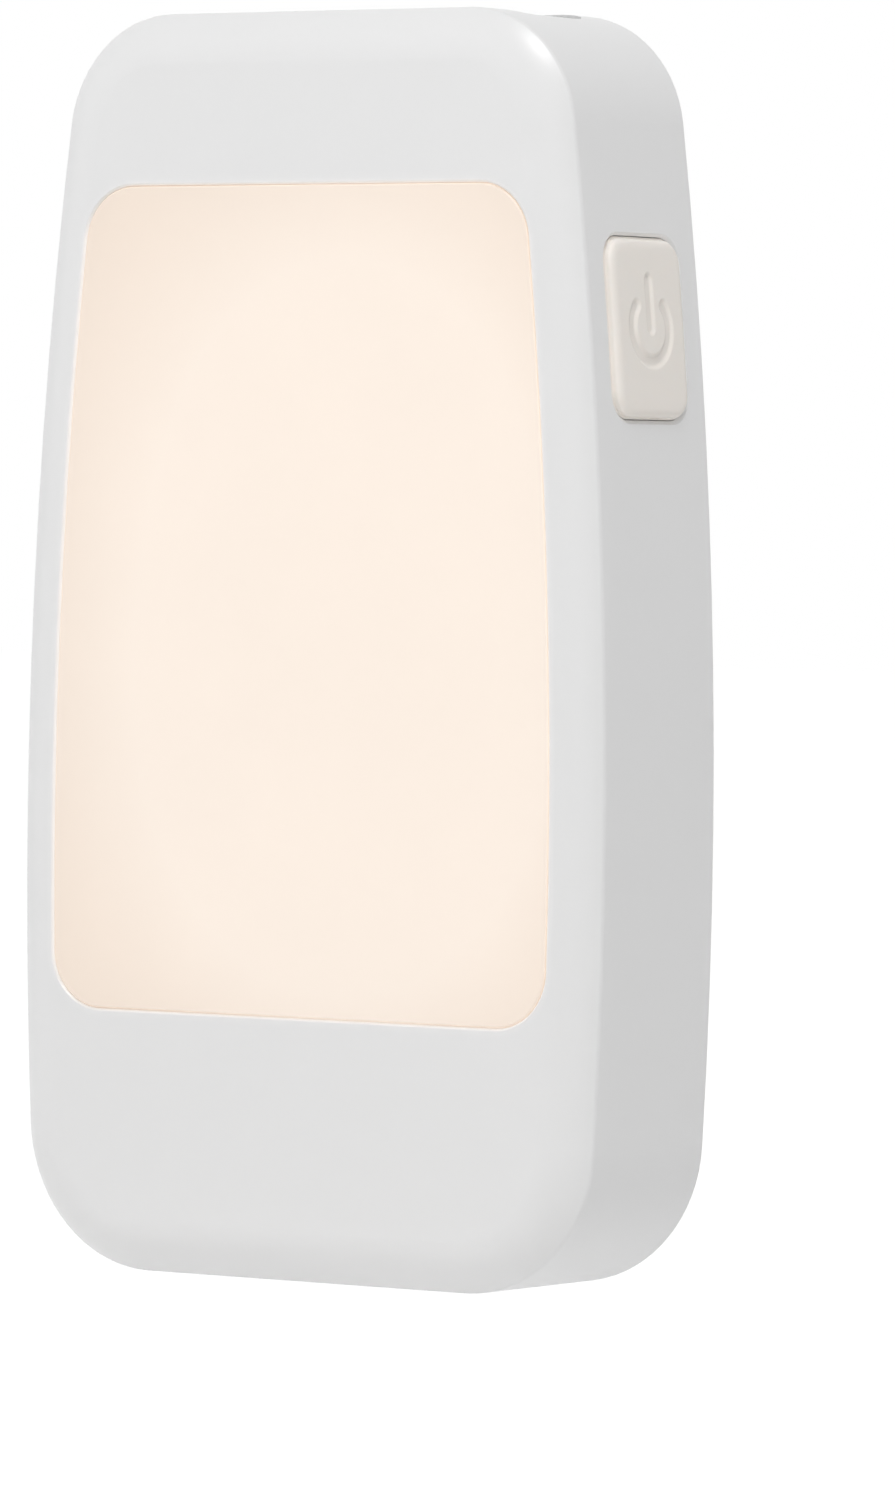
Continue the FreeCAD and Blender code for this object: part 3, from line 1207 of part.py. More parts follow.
def make_power_button():
    """A cap that follows the case's side, a flange behind the wall, and an engraved power symbol."""
    cap = new_body("button_cap", CASE)
    reach = "board_room + button_proud"
    pad(cap, SIDE, "board_width / 2", reach, lambda s: button_span(s, "button_flange"))
    trim_to_outline(cap, "shell_wall + button_play")
    pad(cap, SIDE, "board_width / 2", reach, lambda s: button_span(s, "-button_gap"))
    trim_to_outline(cap, "-button_proud")
    cut(cap, FRONT, "-cover_proud", "case_depth + 2 * cover_proud",
        lambda s: inset_outline(s, "shell_wall + button_play + button_plate"))
    pad(cap, SIDE, "button_back", "button_face - shell_wall - button_back",
        lambda s: disc(s, f"-({PLUNGER_DEPTH})", "button_centre", "button_pusher"))
    side_x = number("body_width / 2 - side_radius")
    outer = number("side_radius + button_proud")
    round_edges(cap, "button_round", lambda edge: all(
        abs(math.hypot(point.x - side_x, point.z - number("widest_height")) - outer) < 1e-3
        for point in samples(edge)))
    symbol = new_body("button_symbol", CASE)
    centre = ("-side_line", "button_centre")
    pad(symbol, SIDE, "button_back", reach, lambda s: (disc(s, *centre, "symbol_radius"),
                                                       disc(s, *centre, "symbol_radius - symbol_stroke")))
    cut(symbol, SIDE, "button_back", reach,
        lambda s: rectangle(s, "-side_line - symbol_gap / 2", "-side_line + symbol_gap / 2",
                            "button_centre + symbol_stroke", "button_centre + 2 * symbol_radius"))
    bar = doc.addObject("PartDesign::Body", "button_bar")
    bind(bar, "Placement.Base.z", CASE)
    pad(bar, SIDE, "button_back", reach,
        lambda s: rounded_rectangle(s, "-side_line - symbol_stroke / 2", "-side_line + symbol_stroke / 2",
                                    "button_centre - symbol_bar_foot", "button_centre + symbol_bar_top",
                                    "symbol_round"))
    core = new_body("button_core", CASE)
    pad(core, FRONT, "0", "case_depth", lambda s: inset_outline(s, "symbol_depth - button_proud"))
    mark = doc.addObject("Part::MultiFuse", "button_mark")
    mark.Shapes = [symbol, bar]
    groove = doc.addObject("Part::Cut", "button_groove")
    groove.Base = mark
    groove.Tool = core
    button = doc.addObject("Part::Cut", "power_button")
    button.Label = "power_button"
    button.Base = cap
    button.Tool = groove
    return keep(button)


def make_all():
    make_front_housing()
    make_front_diffuser()
    make_reflector_tray()
    make_led_board()
    make_lights()
    make_flashlight_lens()
    make_flashlight_reflector()
    make_flashlight_board()
    make_flashlight_leds()
    make_rear_cover()
    make_screws()
    make_plug_block()
    make_blade("plug_blade_left", -1)
    make_blade("plug_blade_right", 1)
    make_plug_retainer()
    make_contact_spring("contact_spring_left", -1)
    make_contact_spring("contact_spring_right", 1)
    make_detent_spring()
    make_main_board()
    make_electrolytic_capacitors()
    make_fuse_resistor()
    make_power_inductor()
    make_components()
    make_battery()
    make_battery_socket()
    make_leads()
    make_switch()
    make_power_button()
    doc.recompute()


def check():
    """Stops where an object failed or a sub-part isn't one valid shape."""
    for item in doc.Objects:
        if "Invalid" in item.State or "Error" in item.State:
            raise RuntimeError(f"{item.Label} failed: {item.State}")
    for node in nodes:
        if node.Shape.isNull() or not node.Shape.isValid() or not node.Shape.Solids:
            raise RuntimeError(f"{node.Label} has no valid solid")


def write():
    """One file for each sub-part."""
    os.makedirs("parts", exist_ok=True)
    for node in nodes:
        node.Shape.exportStep(os.path.join("parts", node.Label + ".step"))
        print(node.Label, len(node.Shape.Solids), round(node.Shape.Volume, 2))


make_all()
check()
write()
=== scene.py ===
import math

import bpy
import numpy as np
from bpy.props import FloatProperty, FloatVectorProperty, PointerProperty
from mathutils import Matrix, Vector


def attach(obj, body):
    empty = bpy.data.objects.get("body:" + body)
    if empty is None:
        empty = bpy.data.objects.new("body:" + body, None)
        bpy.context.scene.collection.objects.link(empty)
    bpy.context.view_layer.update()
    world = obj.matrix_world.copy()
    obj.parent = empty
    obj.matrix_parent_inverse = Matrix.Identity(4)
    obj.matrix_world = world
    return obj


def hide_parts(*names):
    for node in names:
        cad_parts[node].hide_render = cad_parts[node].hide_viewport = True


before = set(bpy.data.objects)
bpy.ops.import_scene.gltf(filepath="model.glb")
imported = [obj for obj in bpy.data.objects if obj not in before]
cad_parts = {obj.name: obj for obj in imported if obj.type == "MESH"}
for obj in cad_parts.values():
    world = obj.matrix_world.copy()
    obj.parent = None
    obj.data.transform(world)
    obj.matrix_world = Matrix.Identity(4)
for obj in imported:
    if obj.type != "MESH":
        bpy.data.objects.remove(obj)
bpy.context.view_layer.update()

bl_info = {
    "name": "Plug-in Night Light",
    "version": (1, 0, 0),
    "blender": (4, 5, 0),
    "location": "View3D > Sidebar > Night Light",
    "description": "Dresses a plug-in night light with its finishes and soft parts",
    "category": "Object",
}

MM = 0.001

# The case: the frame's origin lies on the wall plane, the front faces -Y and +X is to the right.
SIDE_RADIUS = 528.0 * MM
WIDEST = -19.4 * MM
HALF_WIDTH = 33.53 * MM
FRONT = -21.6 * MM

# The diffuser's outline in the front, and the two night lights behind it.
PANEL_TOP = 42.3 * MM
PANEL_FOOT = -36.7 * MM
PANEL_SIDE = 4.95 * MM
PANEL_CORNER = 5.5 * MM
PANEL_MIDDLE = (PANEL_TOP + PANEL_FOOT) / 2
LIGHT_SPACING = 36.0 * MM
LIGHT_FACE = -15.0 * MM
LIGHT_CUP = 2.0 * MM

# The side button: its middle, and its cap's half sizes, corner, rise over the case and rolled edge.
BUTTON_DEPTH = -9.9 * MM
BUTTON_HEIGHT = 28.9 * MM
CAP_HALF = (6.0 * MM, 8.35 * MM)
CAP_CORNER = 2.3 * MM
CAP_PROUD = 0.6 * MM
CAP_ROLL = 0.5 * MM

# The cap below its rolled edge, in millimetres: how far each ring lies inside the cap's outline, or outside
# it where that is negative, and over the case's side. A soft lip fills the gap round the cap, and a flange
# stands behind the case's wall.
CAP_LIP = [(0.0, -0.1), (0.0, -0.28), (-0.16, -0.28), (-0.22, -0.34), (-0.22, -1.2), (-0.22, -2.15)]
CAP_FLANGE = [(-1.25, -2.15), (-1.3, -2.2), (-1.3, -3.1), (-1.25, -3.15)]

# The round pusher on the button's back, which reaches in to the switch.
PUSHER_END = 26.8 * MM
PUSHER_DEPTH = -8.7 * MM
PUSHER_RADIUS = 1.9 * MM

# The power symbol: half of its ring's opening, the ends of its bar and the softness of its groove.
SYMBOL_OPENING = 1.7 * MM
BAR_FOOT = -0.5 * MM
BAR_TOP = 5.1 * MM
GROOVE_BLUR = 0.5 * MM

# The torch's three lights.
TORCH_DEPTH = -9.9 * MM
TORCH_FACE = 48.2 * MM
TORCH_SPACING = 10.0 * MM
TORCH_CUP = 1.1 * MM

# The main board's faces.
BOARD_REAR = -10.5 * MM
BOARD_FRONT = -11.7 * MM

# Solder joints on the board's front, across and up in millimetres, by what they hold or where they are.
SOLDER_PLACES = {
    "film_capacitor": [(-19.4, -37.5), (-19.4, -30.5)],
    "lower_can": [(18.8, -42.0), (21.3, -42.0)],
    "upper_can": [(18.8, -16.2), (21.3, -16.2)],
    "power_inductor": [(-21.6, -22.7), (-17.2, -22.7)],
    "fuse_resistor": [(-21.5, -7.6)],
    "battery_socket": [(14.2, 7.2), (16.6, 7.2)],
    "upper_corners": [(-21.0, 33.0), (21.0, 33.0)],
}
SOLDER_REACH = 0.9 * MM
SOLDER_NECK = 0.28 * MM
PIN_RADIUS = 0.16 * MM
PIN_RISE = 0.06 * MM

# The inductor's winding: the core's axis, the barrel, the wire's ribs and the stretch that they fill.
COIL_ACROSS = -19.4 * MM
COIL_HEIGHT = -22.7 * MM
COIL_START = -9.28 * MM
COIL_LENGTH = 3.96 * MM
COIL_RADIUS = 3.22 * MM
COIL_RIB = 0.16 * MM

# The flat packages' legs: each package's middle and its legs' places, across in millimetres, then where
# the packages stand, and a leg's path out of the package and down to the board.
LEG_ROWS = ((-20.8, (-1.3, 1.3)), (20.7, (-1.9, -0.63, 0.63, 1.9)))
PACKAGE_HEIGHT = 5.6 * MM
PACKAGE_HALF = 2.0 * MM
LEG_ROOT = -0.1 * MM
LEG_SHOULDER = 0.25 * MM
LEG_BEND = 0.45 * MM
LEG_TOE = 1.15 * MM
LEG_HIGH = 0.9 * MM
LEG_LOW = 0.1 * MM
LEG_HALF_WIDE = 0.22 * MM
LEG_HALF_THICK = 0.08 * MM

# The studio, and the camera at the photograph's angle, which is in degrees.
FLOOR_REACH = 3.0
FLOOR_HEIGHT = -70 * MM
FLOOR_WHITE = 0.885
LAMP_WIDTH = 0.7
TOP_LAMP_WIDTH = 0.22
CAMERA_AZIMUTH = 34.74
CAMERA_ELEVATION = 0.97
CAMERA_ROLL = 0.69
CAMERA_DISTANCE = 873.6 * MM
CAMERA_TARGET = (0.0, -10.55 * MM, -1.55 * MM)
CAMERA_LENS = 218.75
CAMERA_SENSOR = 36.0
CAMERA_SHIFT = (0.0554, -0.0691)
CAMERA_CLIP = (0.05, 20.0)


def linear(hex_colour):
    """An sRGB hex colour as linear values."""
    levels = np.array([int(hex_colour[i:i + 2], 16) for i in (1, 3, 5)]) / 255
    return tuple(np.where(levels <= 0.04045, levels / 12.92, ((levels + 0.055) / 1.055) ** 2.4).tolist())


def darkened(colour, loss):
    """A colour that has lost a share of its light."""
    return tuple(channel * (1 - loss) for channel in colour)


def add_node(tree, kind, inputs=None, **settings):
    """Adds a shader node with its settings and returns its outputs. Each of its inputs, given by name or
    number, gets a value, or a link where the value is another node's output."""
    node = tree.nodes.new("ShaderNode" + kind)
    for name, value in settings.items():
        setattr(node, name, value)
    for name, value in (inputs or {}).items():
        socket = node.inputs[name]
        if isinstance(value, bpy.types.NodeSocket):
            tree.links.new(value, socket)
        else:
            socket.default_value = (*value, 1) if socket.type == "RGBA" else value
    return node.outputs


def new_material(name):
    """A material and its empty node tree."""
    material = bpy.data.materials.new(name)
    material.use_nodes = True
    material.node_tree.nodes.clear()
    return material, material.node_tree


def closed_rings(rings):
    """Points and faces of a closed surface through rings, an array of rows x columns x 3. Each row closes
    on itself, and the first and last are closed by a fan to their middle."""
    rows, columns = rings.shape[:2]
    points = np.concatenate([rings.reshape(-1, 3), rings[0].mean(0)[None], rings[-1].mean(0)[None]])
    here = np.arange(rows * columns).reshape(rows, columns)
    beside = np.roll(here, -1, axis=1)
    quads = np.stack([here[:-1], beside[:-1], beside[1:], here[1:]], axis=-1).reshape(-1, 4)
    first = np.stack([beside[0], here[0], np.full(columns, rows * columns)], axis=-1)
    last = np.stack([here[-1], beside[-1], np.full(columns, rows * columns + 1)], axis=-1)
    corners = points[np.concatenate([first, last, quads[:, :3], quads[:, [0, 2, 3]]])]
    volume = np.einsum("ij,ij->i", corners[:, 0], np.cross(corners[:, 1], corners[:, 2])).sum()
    fans = np.concatenate([first, last])
    return (points, quads, fans) if volume > 0 else (points, quads[:, ::-1], fans[:, ::-1])


def add_piece(name, parts, material, body, sharp=40.0):
    """One object out of closed ring surfaces, smooth but for its sharp edges, which rides on a body."""
    points, faces, count = [], [], 0
    for rings in parts:
        place, quads, fans = closed_rings(rings)
        points.append(place)
        faces += (quads + count).tolist() + (fans + count).tolist()
        count += len(place)
    mesh = bpy.data.meshes.new(name)
    mesh.from_pydata(np.concatenate(points), [], faces)
    mesh.shade_smooth()
    mesh.set_sharp_from_angle(angle=math.radians(sharp))
    mesh.materials.append(material)
    piece = bpy.data.objects.new(name, mesh)
    bpy.context.scene.collection.objects.link(piece)
    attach(piece, body)
    return piece


def turned(profile, place, axis, columns=48):
    """Rings of a turned part, P(i, a) = place + h_i axis + r_i (cos a side + sin a other), for a profile
    of (r, h) rows in metres."""
    profile, axis = np.asarray(profile, float), np.asarray(axis, float)
    side = np.roll(axis, 1)
    other = np.cross(axis, side)
    angle = np.linspace(0, 2 * np.pi, columns, endpoint=False)
    ring = np.cos(angle)[:, None] * side + np.sin(angle)[:, None] * other
    return np.asarray(place, float) + profile[:, 1, None, None] * axis + profile[:, 0, None, None] * ring


def tool_texture(tree, point, grain, relief):
    """The normal of a fine eroded mould texture: grains about as wide as grain, as deep as relief."""
    texture = add_node(tree, "TexNoise", {"Vector": point, "Scale": 1 / grain, "Detail": 2.0})["Fac"]
    return add_node(tree, "Bump", {"Height": texture, "Distance": relief})[0]


def moulded(name, colour, roughness, ior, grain=0.25 * MM, relief=0.002 * MM, mottle=0.015, coat=0.0):
    """A moulded plastic: one colour, a fine eroded tool texture and a faint flow mottle in its gloss."""
    material, tree = new_material(name)
    point = add_node(tree, "TexCoord")["Object"]
    flow = add_node(tree, "TexNoise", {"Vector": point, "Scale": 1 / (9 * MM), "Detail": 3.0})["Fac"]
    shader = add_node(tree, "BsdfPrincipled", {
        "Base Color": add_node(tree, "Mix", {0: flow, 6: darkened(colour, mottle), 7: colour},
                               data_type="RGBA")[2],
        "Roughness": add_node(tree, "MapRange", {"Value": flow, "From Min": 0.3, "From Max": 0.7,
                                                 "To Min": roughness - 0.03, "To Max": roughness + 0.03})[0],
        "Normal": tool_texture(tree, point, grain, relief),
        "IOR": ior, "Coat Weight": coat, "Coat Roughness": 0.2})
    add_node(tree, "OutputMaterial", {"Surface": shader[0]})
    return material


def panel_distance(tree, point):
    """How far a point lies outside the diffuser's outline, in metres: its distance to a box whose half
    width follows the bow of the case's sides, less the radius of the rounded corners."""
    height = add_node(tree, "SeparateXYZ", {"Vector": point})["Z"]
    height = add_node(tree, "Math", {0: height, 1: WIDEST}, operation="SUBTRACT")[0]
    square = add_node(tree, "Math", {0: height, 1: height}, operation="MULTIPLY")[0]
    bow = add_node(tree, "Math", {0: SIDE_RADIUS ** 2, 1: square}, operation="SUBTRACT")[0]
    bow = add_node(tree, "Math", {0: bow}, operation="SQRT")[0]
    margin = HALF_WIDTH - SIDE_RADIUS - PANEL_SIDE - PANEL_CORNER
    half_width = add_node(tree, "Math", {0: bow, 1: margin}, operation="ADD")[0]
    half_height = (PANEL_TOP - PANEL_FOOT) / 2 - PANEL_CORNER
    box = add_node(tree, "CombineXYZ", {"X": half_width, "Y": 1.0, "Z": half_height})[0]
    placed = add_node(tree, "VectorMath", {0: point, 1: (0, 0, PANEL_MIDDLE)}, operation="SUBTRACT")[0]
    folded = add_node(tree, "VectorMath", {0: placed}, operation="ABSOLUTE")[0]
    past = add_node(tree, "VectorMath", {0: folded, 1: box}, operation="SUBTRACT")[0]
    past = add_node(tree, "VectorMath", {0: past, 1: (0, 0, 0)}, operation="MAXIMUM")[0]
    reach = add_node(tree, "VectorMath", {0: past}, operation="LENGTH")["Value"]
    return add_node(tree, "Math", {0: reach, 1: PANEL_CORNER}, operation="SUBTRACT")[0]


def white_abs(look):
    """Injection-moulded white ABS with a satin face: a soft broad sheen, and a painted glow round the lit
    diffuser, where the case itself emits the warm light that the wall lets through."""
    material, tree = new_material("white_abs")
    point = add_node(tree, "TexCoord")["Object"]
    distance = panel_distance(tree, point)
    # Painted glow: the case emits the lamp's colour close to the diffuser's outline, more strongly in the
    # joint round it, and only near the front face.
    painted_bleed = add_node(tree, "MapRange", {"Value": distance, "From Min": 0.0, "From Max": look.painted_bleed_reach,
                                        "To Min": 1.0, "To Max": 0.0})[0]
    painted_bleed = add_node(tree, "Math", {0: painted_bleed, 1: painted_bleed}, operation="MULTIPLY")[0]
    painted_seam = add_node(tree, "MapRange", {"Value": distance, "From Min": 0.1 * MM, "From Max": 0.45 * MM,
                                       "To Min": look.painted_seam_glow, "To Max": 0.0})[0]
    glow = add_node(tree, "Math", {0: painted_bleed, 1: painted_seam}, operation="ADD")[0]
    depth = add_node(tree, "SeparateXYZ", {"Vector": point})["Y"]
    at_front = add_node(tree, "MapRange", {"Value": depth, "From Min": FRONT, "From Max": FRONT + 3 * MM,
                                           "To Min": look.painted_bleed_strength, "To Max": 0.0})[0]
    flow = add_node(tree, "TexNoise", {"Vector": point, "Scale": 1 / (12 * MM), "Detail": 3.0})["Fac"]
    white = look.case_white
    shader = add_node(tree, "BsdfPrincipled", {
        "Base Color": add_node(tree, "Mix", {0: flow, 6: darkened(white, 0.008), 7: white},
                               data_type="RGBA")[2],
        "Roughness": add_node(tree, "MapRange", {"Value": flow, "From Min": 0.3, "From Max": 0.7,
                                                 "To Min": 0.30, "To Max": 0.36})[0],
        "Normal": tool_texture(tree, point, 0.3 * MM, 0.0015 * MM),
        "Emission Color": look.lamp,
        "Emission Strength": add_node(tree, "Math", {0: glow, 1: at_front}, operation="MULTIPLY")[0],
        "IOR": 1.53})
    add_node(tree, "OutputMaterial", {"Surface": shader[0]})
    return material


def light_spot(tree, point, across, height, strength, reach):
    """Light of one package on the diffuser: strength / (1 + (d / reach)^2), where d is the distance from the
    package in the face's plane."""
    offset = add_node(tree, "VectorMath", {0: point, 1: (1, 0, 1), 2: (-across, 0, -height)},
                      operation="MULTIPLY_ADD")[0]
    distance = add_node(tree, "VectorMath", {0: offset}, operation="LENGTH")["Value"]
    share = add_node(tree, "Math", {0: distance, 1: reach}, operation="DIVIDE")[0]
    fall = add_node(tree, "Math", {0: share, 1: share, 2: 1.0}, operation="MULTIPLY_ADD")[0]
    return add_node(tree, "Math", {0: strength, 1: fall}, operation="DIVIDE")[0]


def milky_diffuser(look):
    """Opal polypropylene, moulded with a fine satin face: light from two packages behind it spreads in
    the wall, so that it glows evenly with two soft brighter spots and falls off at the corners."""
    material, tree = new_material("milky_diffuser")
    point = add_node(tree, "TexCoord")["Object"]
    upper = light_spot(tree, point, look.spot_shift, PANEL_MIDDLE + LIGHT_SPACING / 2, 1.0, look.spot_reach)
    lower = light_spot(tree, point, look.spot_shift, PANEL_MIDDLE - LIGHT_SPACING / 2, 1.3, look.spot_reach)
    both = add_node(tree, "Math", {0: upper, 1: lower}, operation="ADD")[0]
    near = add_node(tree, "MapRange", {"Value": both, "From Min": 0.55, "From Max": 1.15})[0]
    glow = add_node(tree, "MapRange", {"Value": near, "To Min": look.glow_low, "To Max": look.glow_high})[0]
    edge = add_node(tree, "MapRange", {"Value": panel_distance(tree, point), "From Min": -6 * MM,
                                       "From Max": 0.0, "To Min": 1.0, "To Max": 0.97})[0]
    cloud = add_node(tree, "TexNoise", {"Vector": point, "Scale": 1 / (14 * MM), "Detail": 2.0})["Fac"]
    cloud = add_node(tree, "MapRange", {"Value": cloud, "From Min": 0.3, "From Max": 0.7,
                                        "To Min": 0.985, "To Max": 1.015})[0]
    glow = add_node(tree, "Math", {0: glow, 1: edge}, operation="MULTIPLY")[0]
    shader = add_node(tree, "BsdfPrincipled", {
        "Base Color": look.opal, "Roughness": 0.38, "IOR": 1.49,
        "Normal": tool_texture(tree, point, 0.3 * MM, 0.001 * MM),
        "Emission Color": add_node(tree, "Mix", {0: near, 6: look.lamp_edge, 7: look.lamp},
                                   data_type="RGBA")[2],
        "Emission Strength": add_node(tree, "Math", {0: glow, 1: cloud}, operation="MULTIPLY")[0]})
    add_node(tree, "OutputMaterial", {"Surface": shader[0]})
    return material


def clear_polycarbonate():
    """Clear moulded polycarbonate, polished: it refracts, with clear sharp reflections."""
    material, tree = new_material("clear_lens")
    point = add_node(tree, "TexCoord")["Object"]
    ripple = add_node(tree, "TexNoise", {"Vector": point, "Scale": 1 / (1.5 * MM), "Detail": 2.0})["Fac"]
    shader = add_node(tree, "BsdfPrincipled", {
        "Base Color": (0.96, 0.97, 0.98), "IOR": 1.585, "Transmission Weight": 1.0,
        "Roughness": add_node(tree, "MapRange", {"Value": ripple, "From Min": 0.3, "From Max": 0.7,
                                                 "To Min": 0.04, "To Max": 0.12})[0]})
    add_node(tree, "OutputMaterial", {"Surface": shader[0]})
    return material


def metal(name, colour, roughness, grain, relief, stretch=(1, 1, 1)):
    """A bare or plated metal: its colour in reflection, with the fine marks of rolling or plating."""
    material, tree = new_material(name)
    point = add_node(tree, "TexCoord")["Object"]
    point = add_node(tree, "Mapping", {"Vector": point, "Scale": stretch})[0]
    marks = add_node(tree, "TexNoise", {"Vector": point, "Scale": 1 / grain, "Detail": 3.0})["Fac"]
    shader = add_node(tree, "BsdfPrincipled", {
        "Base Color": add_node(tree, "Mix", {0: marks, 6: darkened(colour, 0.07), 7: colour},
                               data_type="RGBA")[2],
        "Roughness": add_node(tree, "MapRange", {"Value": marks, "From Min": 0.3, "From Max": 0.7,
                                                 "To Min": roughness - 0.06, "To Max": roughness + 0.06})[0],
        "Normal": add_node(tree, "Bump", {"Height": marks, "Distance": relief})[0],
        "Metallic": 1.0})
    add_node(tree, "OutputMaterial", {"Surface": shader[0]})
    return material


def silicone_rubber(colour):
    """Moulded soft silicone rubber: a fine matt skin with a broad faint sheen, and a little light that comes
    back out of it, so that its engraving looks soft. The engraving's groove is darkened with painted shade."""
    material, tree = new_material("soft_button")
    point = add_node(tree, "TexCoord")["Object"]
    flow = add_node(tree, "TexNoise", {"Vector": point, "Scale": 1 / (6 * MM), "Detail": 2.0})["Fac"]
    face = add_node(tree, "Mix", {0: flow, 6: darkened(colour, 0.01), 7: colour}, data_type="RGBA")[2]
    groove = add_node(tree, "Attribute", attribute_name="groove")["Fac"]
    # Painted shade: the colour darkens in the engraved groove, the more the deeper it is.
    painted_groove_shade = add_node(tree, "Math", {0: groove, 1: 0.3}, operation="MULTIPLY")[0]
    shader = add_node(tree, "BsdfPrincipled", {
        "Base Color": add_node(tree, "Mix", {0: painted_groove_shade, 6: face, 7: darkened(colour, 0.18)},
                               data_type="RGBA")[2],
        "Roughness": add_node(tree, "MapRange", {"Value": flow, "From Min": 0.3, "From Max": 0.7,
                                                 "To Min": 0.52, "To Max": 0.60})[0],
        "Normal": tool_texture(tree, point, 0.2 * MM, 0.002 * MM),
        "IOR": 1.41, "Sheen Weight": 0.1, "Sheen Roughness": 0.5,
        "Subsurface Weight": 0.1, "Subsurface Radius": (1.0, 0.8, 0.65), "Subsurface Scale": 0.3 * MM})
    add_node(tree, "OutputMaterial", {"Surface": shader[0]})
    return material


def filled_nylon():
    """Glass-filled nylon of the folding plug and its retainer: white, a little duller and rougher than the
    case, with the faint swirl of its fibres."""
    return moulded("white_block", linear("#e4e4e1"), roughness=0.48, ior=1.55,
                   grain=0.4 * MM, relief=0.004 * MM, mottle=0.03)


def gloss_white():
    """Polystyrene filled with titanium white, moulded glossy to throw the light forward."""
    return moulded("tray_white", linear("#f4f4f2"), roughness=0.22, ior=1.59,
                   grain=0.6 * MM, relief=0.001 * MM, mottle=0.01)


def black_nylon():
    """Black nylon of a small moulded switch: dark, with a soft satin sheen."""
    return moulded("switch_black", linear("#1b1b1c"), roughness=0.42, ior=1.53,
                   grain=0.2 * MM, relief=0.003 * MM, mottle=0.1)


def natural_nylon():
    """Uncoloured nylon of a wire socket: a warm, waxy off-white."""
    return moulded("nylon", linear("#e8e2d2"), roughness=0.38, ior=1.53,
                   grain=0.4 * MM, relief=0.002 * MM, mottle=0.03)


def solder_mask(name, colour, roughness):
    """A glass-cloth board under screen-printed solder mask: a glossy lacquer over a weave that just shows.
    The weave is drawn 3 mm wide, coarser than real cloth, so that it shows."""
    material, tree = new_material(name)
    point = add_node(tree, "TexCoord")["Object"]
    threads = [add_node(tree, "TexWave", {"Vector": point, "Scale": 1 / (3 * MM), "Distortion": 0.6,
                                          "Detail": 1.0}, bands_direction=way)["Fac"] for way in ("X", "Z")]
    cloth = add_node(tree, "Math", {0: threads[0], 1: threads[1]}, operation="MULTIPLY")[0]
    flow = add_node(tree, "TexNoise", {"Vector": point, "Scale": 1 / (2 * MM), "Detail": 2.0})["Fac"]
    shader = add_node(tree, "BsdfPrincipled", {
        "Base Color": add_node(tree, "Mix", {0: cloth, 6: darkened(colour, 0.1), 7: colour},
                               data_type="RGBA")[2],
        "Roughness": add_node(tree, "MapRange", {"Value": flow, "From Min": 0.3, "From Max": 0.7,
                                                 "To Min": roughness - 0.05, "To Max": roughness + 0.05})[0],
        "Normal": add_node(tree, "Bump", {"Height": cloth, "Distance": 0.006 * MM})[0],
        "IOR": 1.55, "Coat Weight": 0.6, "Coat Roughness": 0.15})
    add_node(tree, "OutputMaterial", {"Surface": shader[0]})
    return material


def light_package():
    """The white ceramic-filled cup of a light package: matt, chalky, a little warm."""
    return moulded("led_package", linear("#f2ecd8"), roughness=0.5, ior=1.54,
                   grain=0.15 * MM, relief=0.003 * MM)


def phosphor(colour):
    """Cast silicone full of yellow phosphor, lit from below: saturated and grainy, with a wet gloss."""
    material, tree = new_material("phosphor")
    point = add_node(tree, "TexCoord")["Object"]
    grain = add_node(tree, "TexNoise", {"Vector": point, "Scale": 1 / (0.08 * MM), "Detail": 3.0})["Fac"]
    shader = add_node(tree, "BsdfPrincipled", {
        "Base Color": add_node(tree, "Mix", {0: grain, 6: linear("#e8b93c"), 7: linear("#f6d25c")},
                               data_type="RGBA")[2],
        "IOR": 1.41, "Roughness": 0.12, "Emission Color": colour, "Emission Strength": 0.6})
    add_node(tree, "OutputMaterial", {"Surface": shader[0]})
    return material


def smoked_epoxy():
    """Cast epoxy over a light sensor: clear but smoky, with a sharp wet reflection."""
    material, tree = new_material("clear_sensor")
    point = add_node(tree, "TexCoord")["Object"]
    haze = add_node(tree, "TexNoise", {"Vector": point, "Scale": 1 / (0.8 * MM), "Detail": 2.0})["Fac"]
    shader = add_node(tree, "BsdfPrincipled", {
        "Base Color": add_node(tree, "Mix", {0: haze, 6: linear("#8f8a90"), 7: linear("#a7a2a8")},
                               data_type="RGBA")[2],
        "Roughness": add_node(tree, "MapRange", {"Value": haze, "From Min": 0.3, "From Max": 0.7,
                                                 "To Min": 0.05, "To Max": 0.10})[0],
        "IOR": 1.53, "Transmission Weight": 0.6})
    add_node(tree, "OutputMaterial", {"Surface": shader[0]})
    return material


def transfer_epoxy():
    """Black transfer-moulded epoxy of a chip: matt, with the fine grain of a spark-eroded mould."""
    return moulded("black_epoxy", linear("#232324"), roughness=0.58, ior=1.57,
                   grain=0.12 * MM, relief=0.006 * MM, mottle=0.12)


def film_box():
    """The moulded yellow box of a film capacitor: hard, smooth and half glossy."""
    return moulded("film_case", linear("#d7b02c"), roughness=0.32, ior=1.55,
                   grain=0.5 * MM, relief=0.002 * MM, mottle=0.05)


def shrink_sleeve():
    """A shrunk dark sleeve on an aluminium can: thin, glossy, with faint pulled ripples."""
    return moulded("can_sleeve", linear("#262d3c"), roughness=0.25, ior=1.54,
                   grain=1.2 * MM, relief=0.012 * MM, mottle=0.08, coat=0.3)


def conformal_coat():
    """The dipped green coat of a wire-wound resistor: uneven, thick and half glossy."""
    return moulded("resistor_coat", linear("#71a08a"), roughness=0.35, ior=1.55,
                   grain=0.9 * MM, relief=0.02 * MM, mottle=0.1, coat=0.2)


def sintered_ferrite():
    """Sintered and tumbled ferrite: dark grey, dense and faintly glittering."""
    return moulded("ferrite", linear("#3a3a3b"), roughness=0.45, ior=2.2,
                   grain=0.1 * MM, relief=0.006 * MM, mottle=0.2)


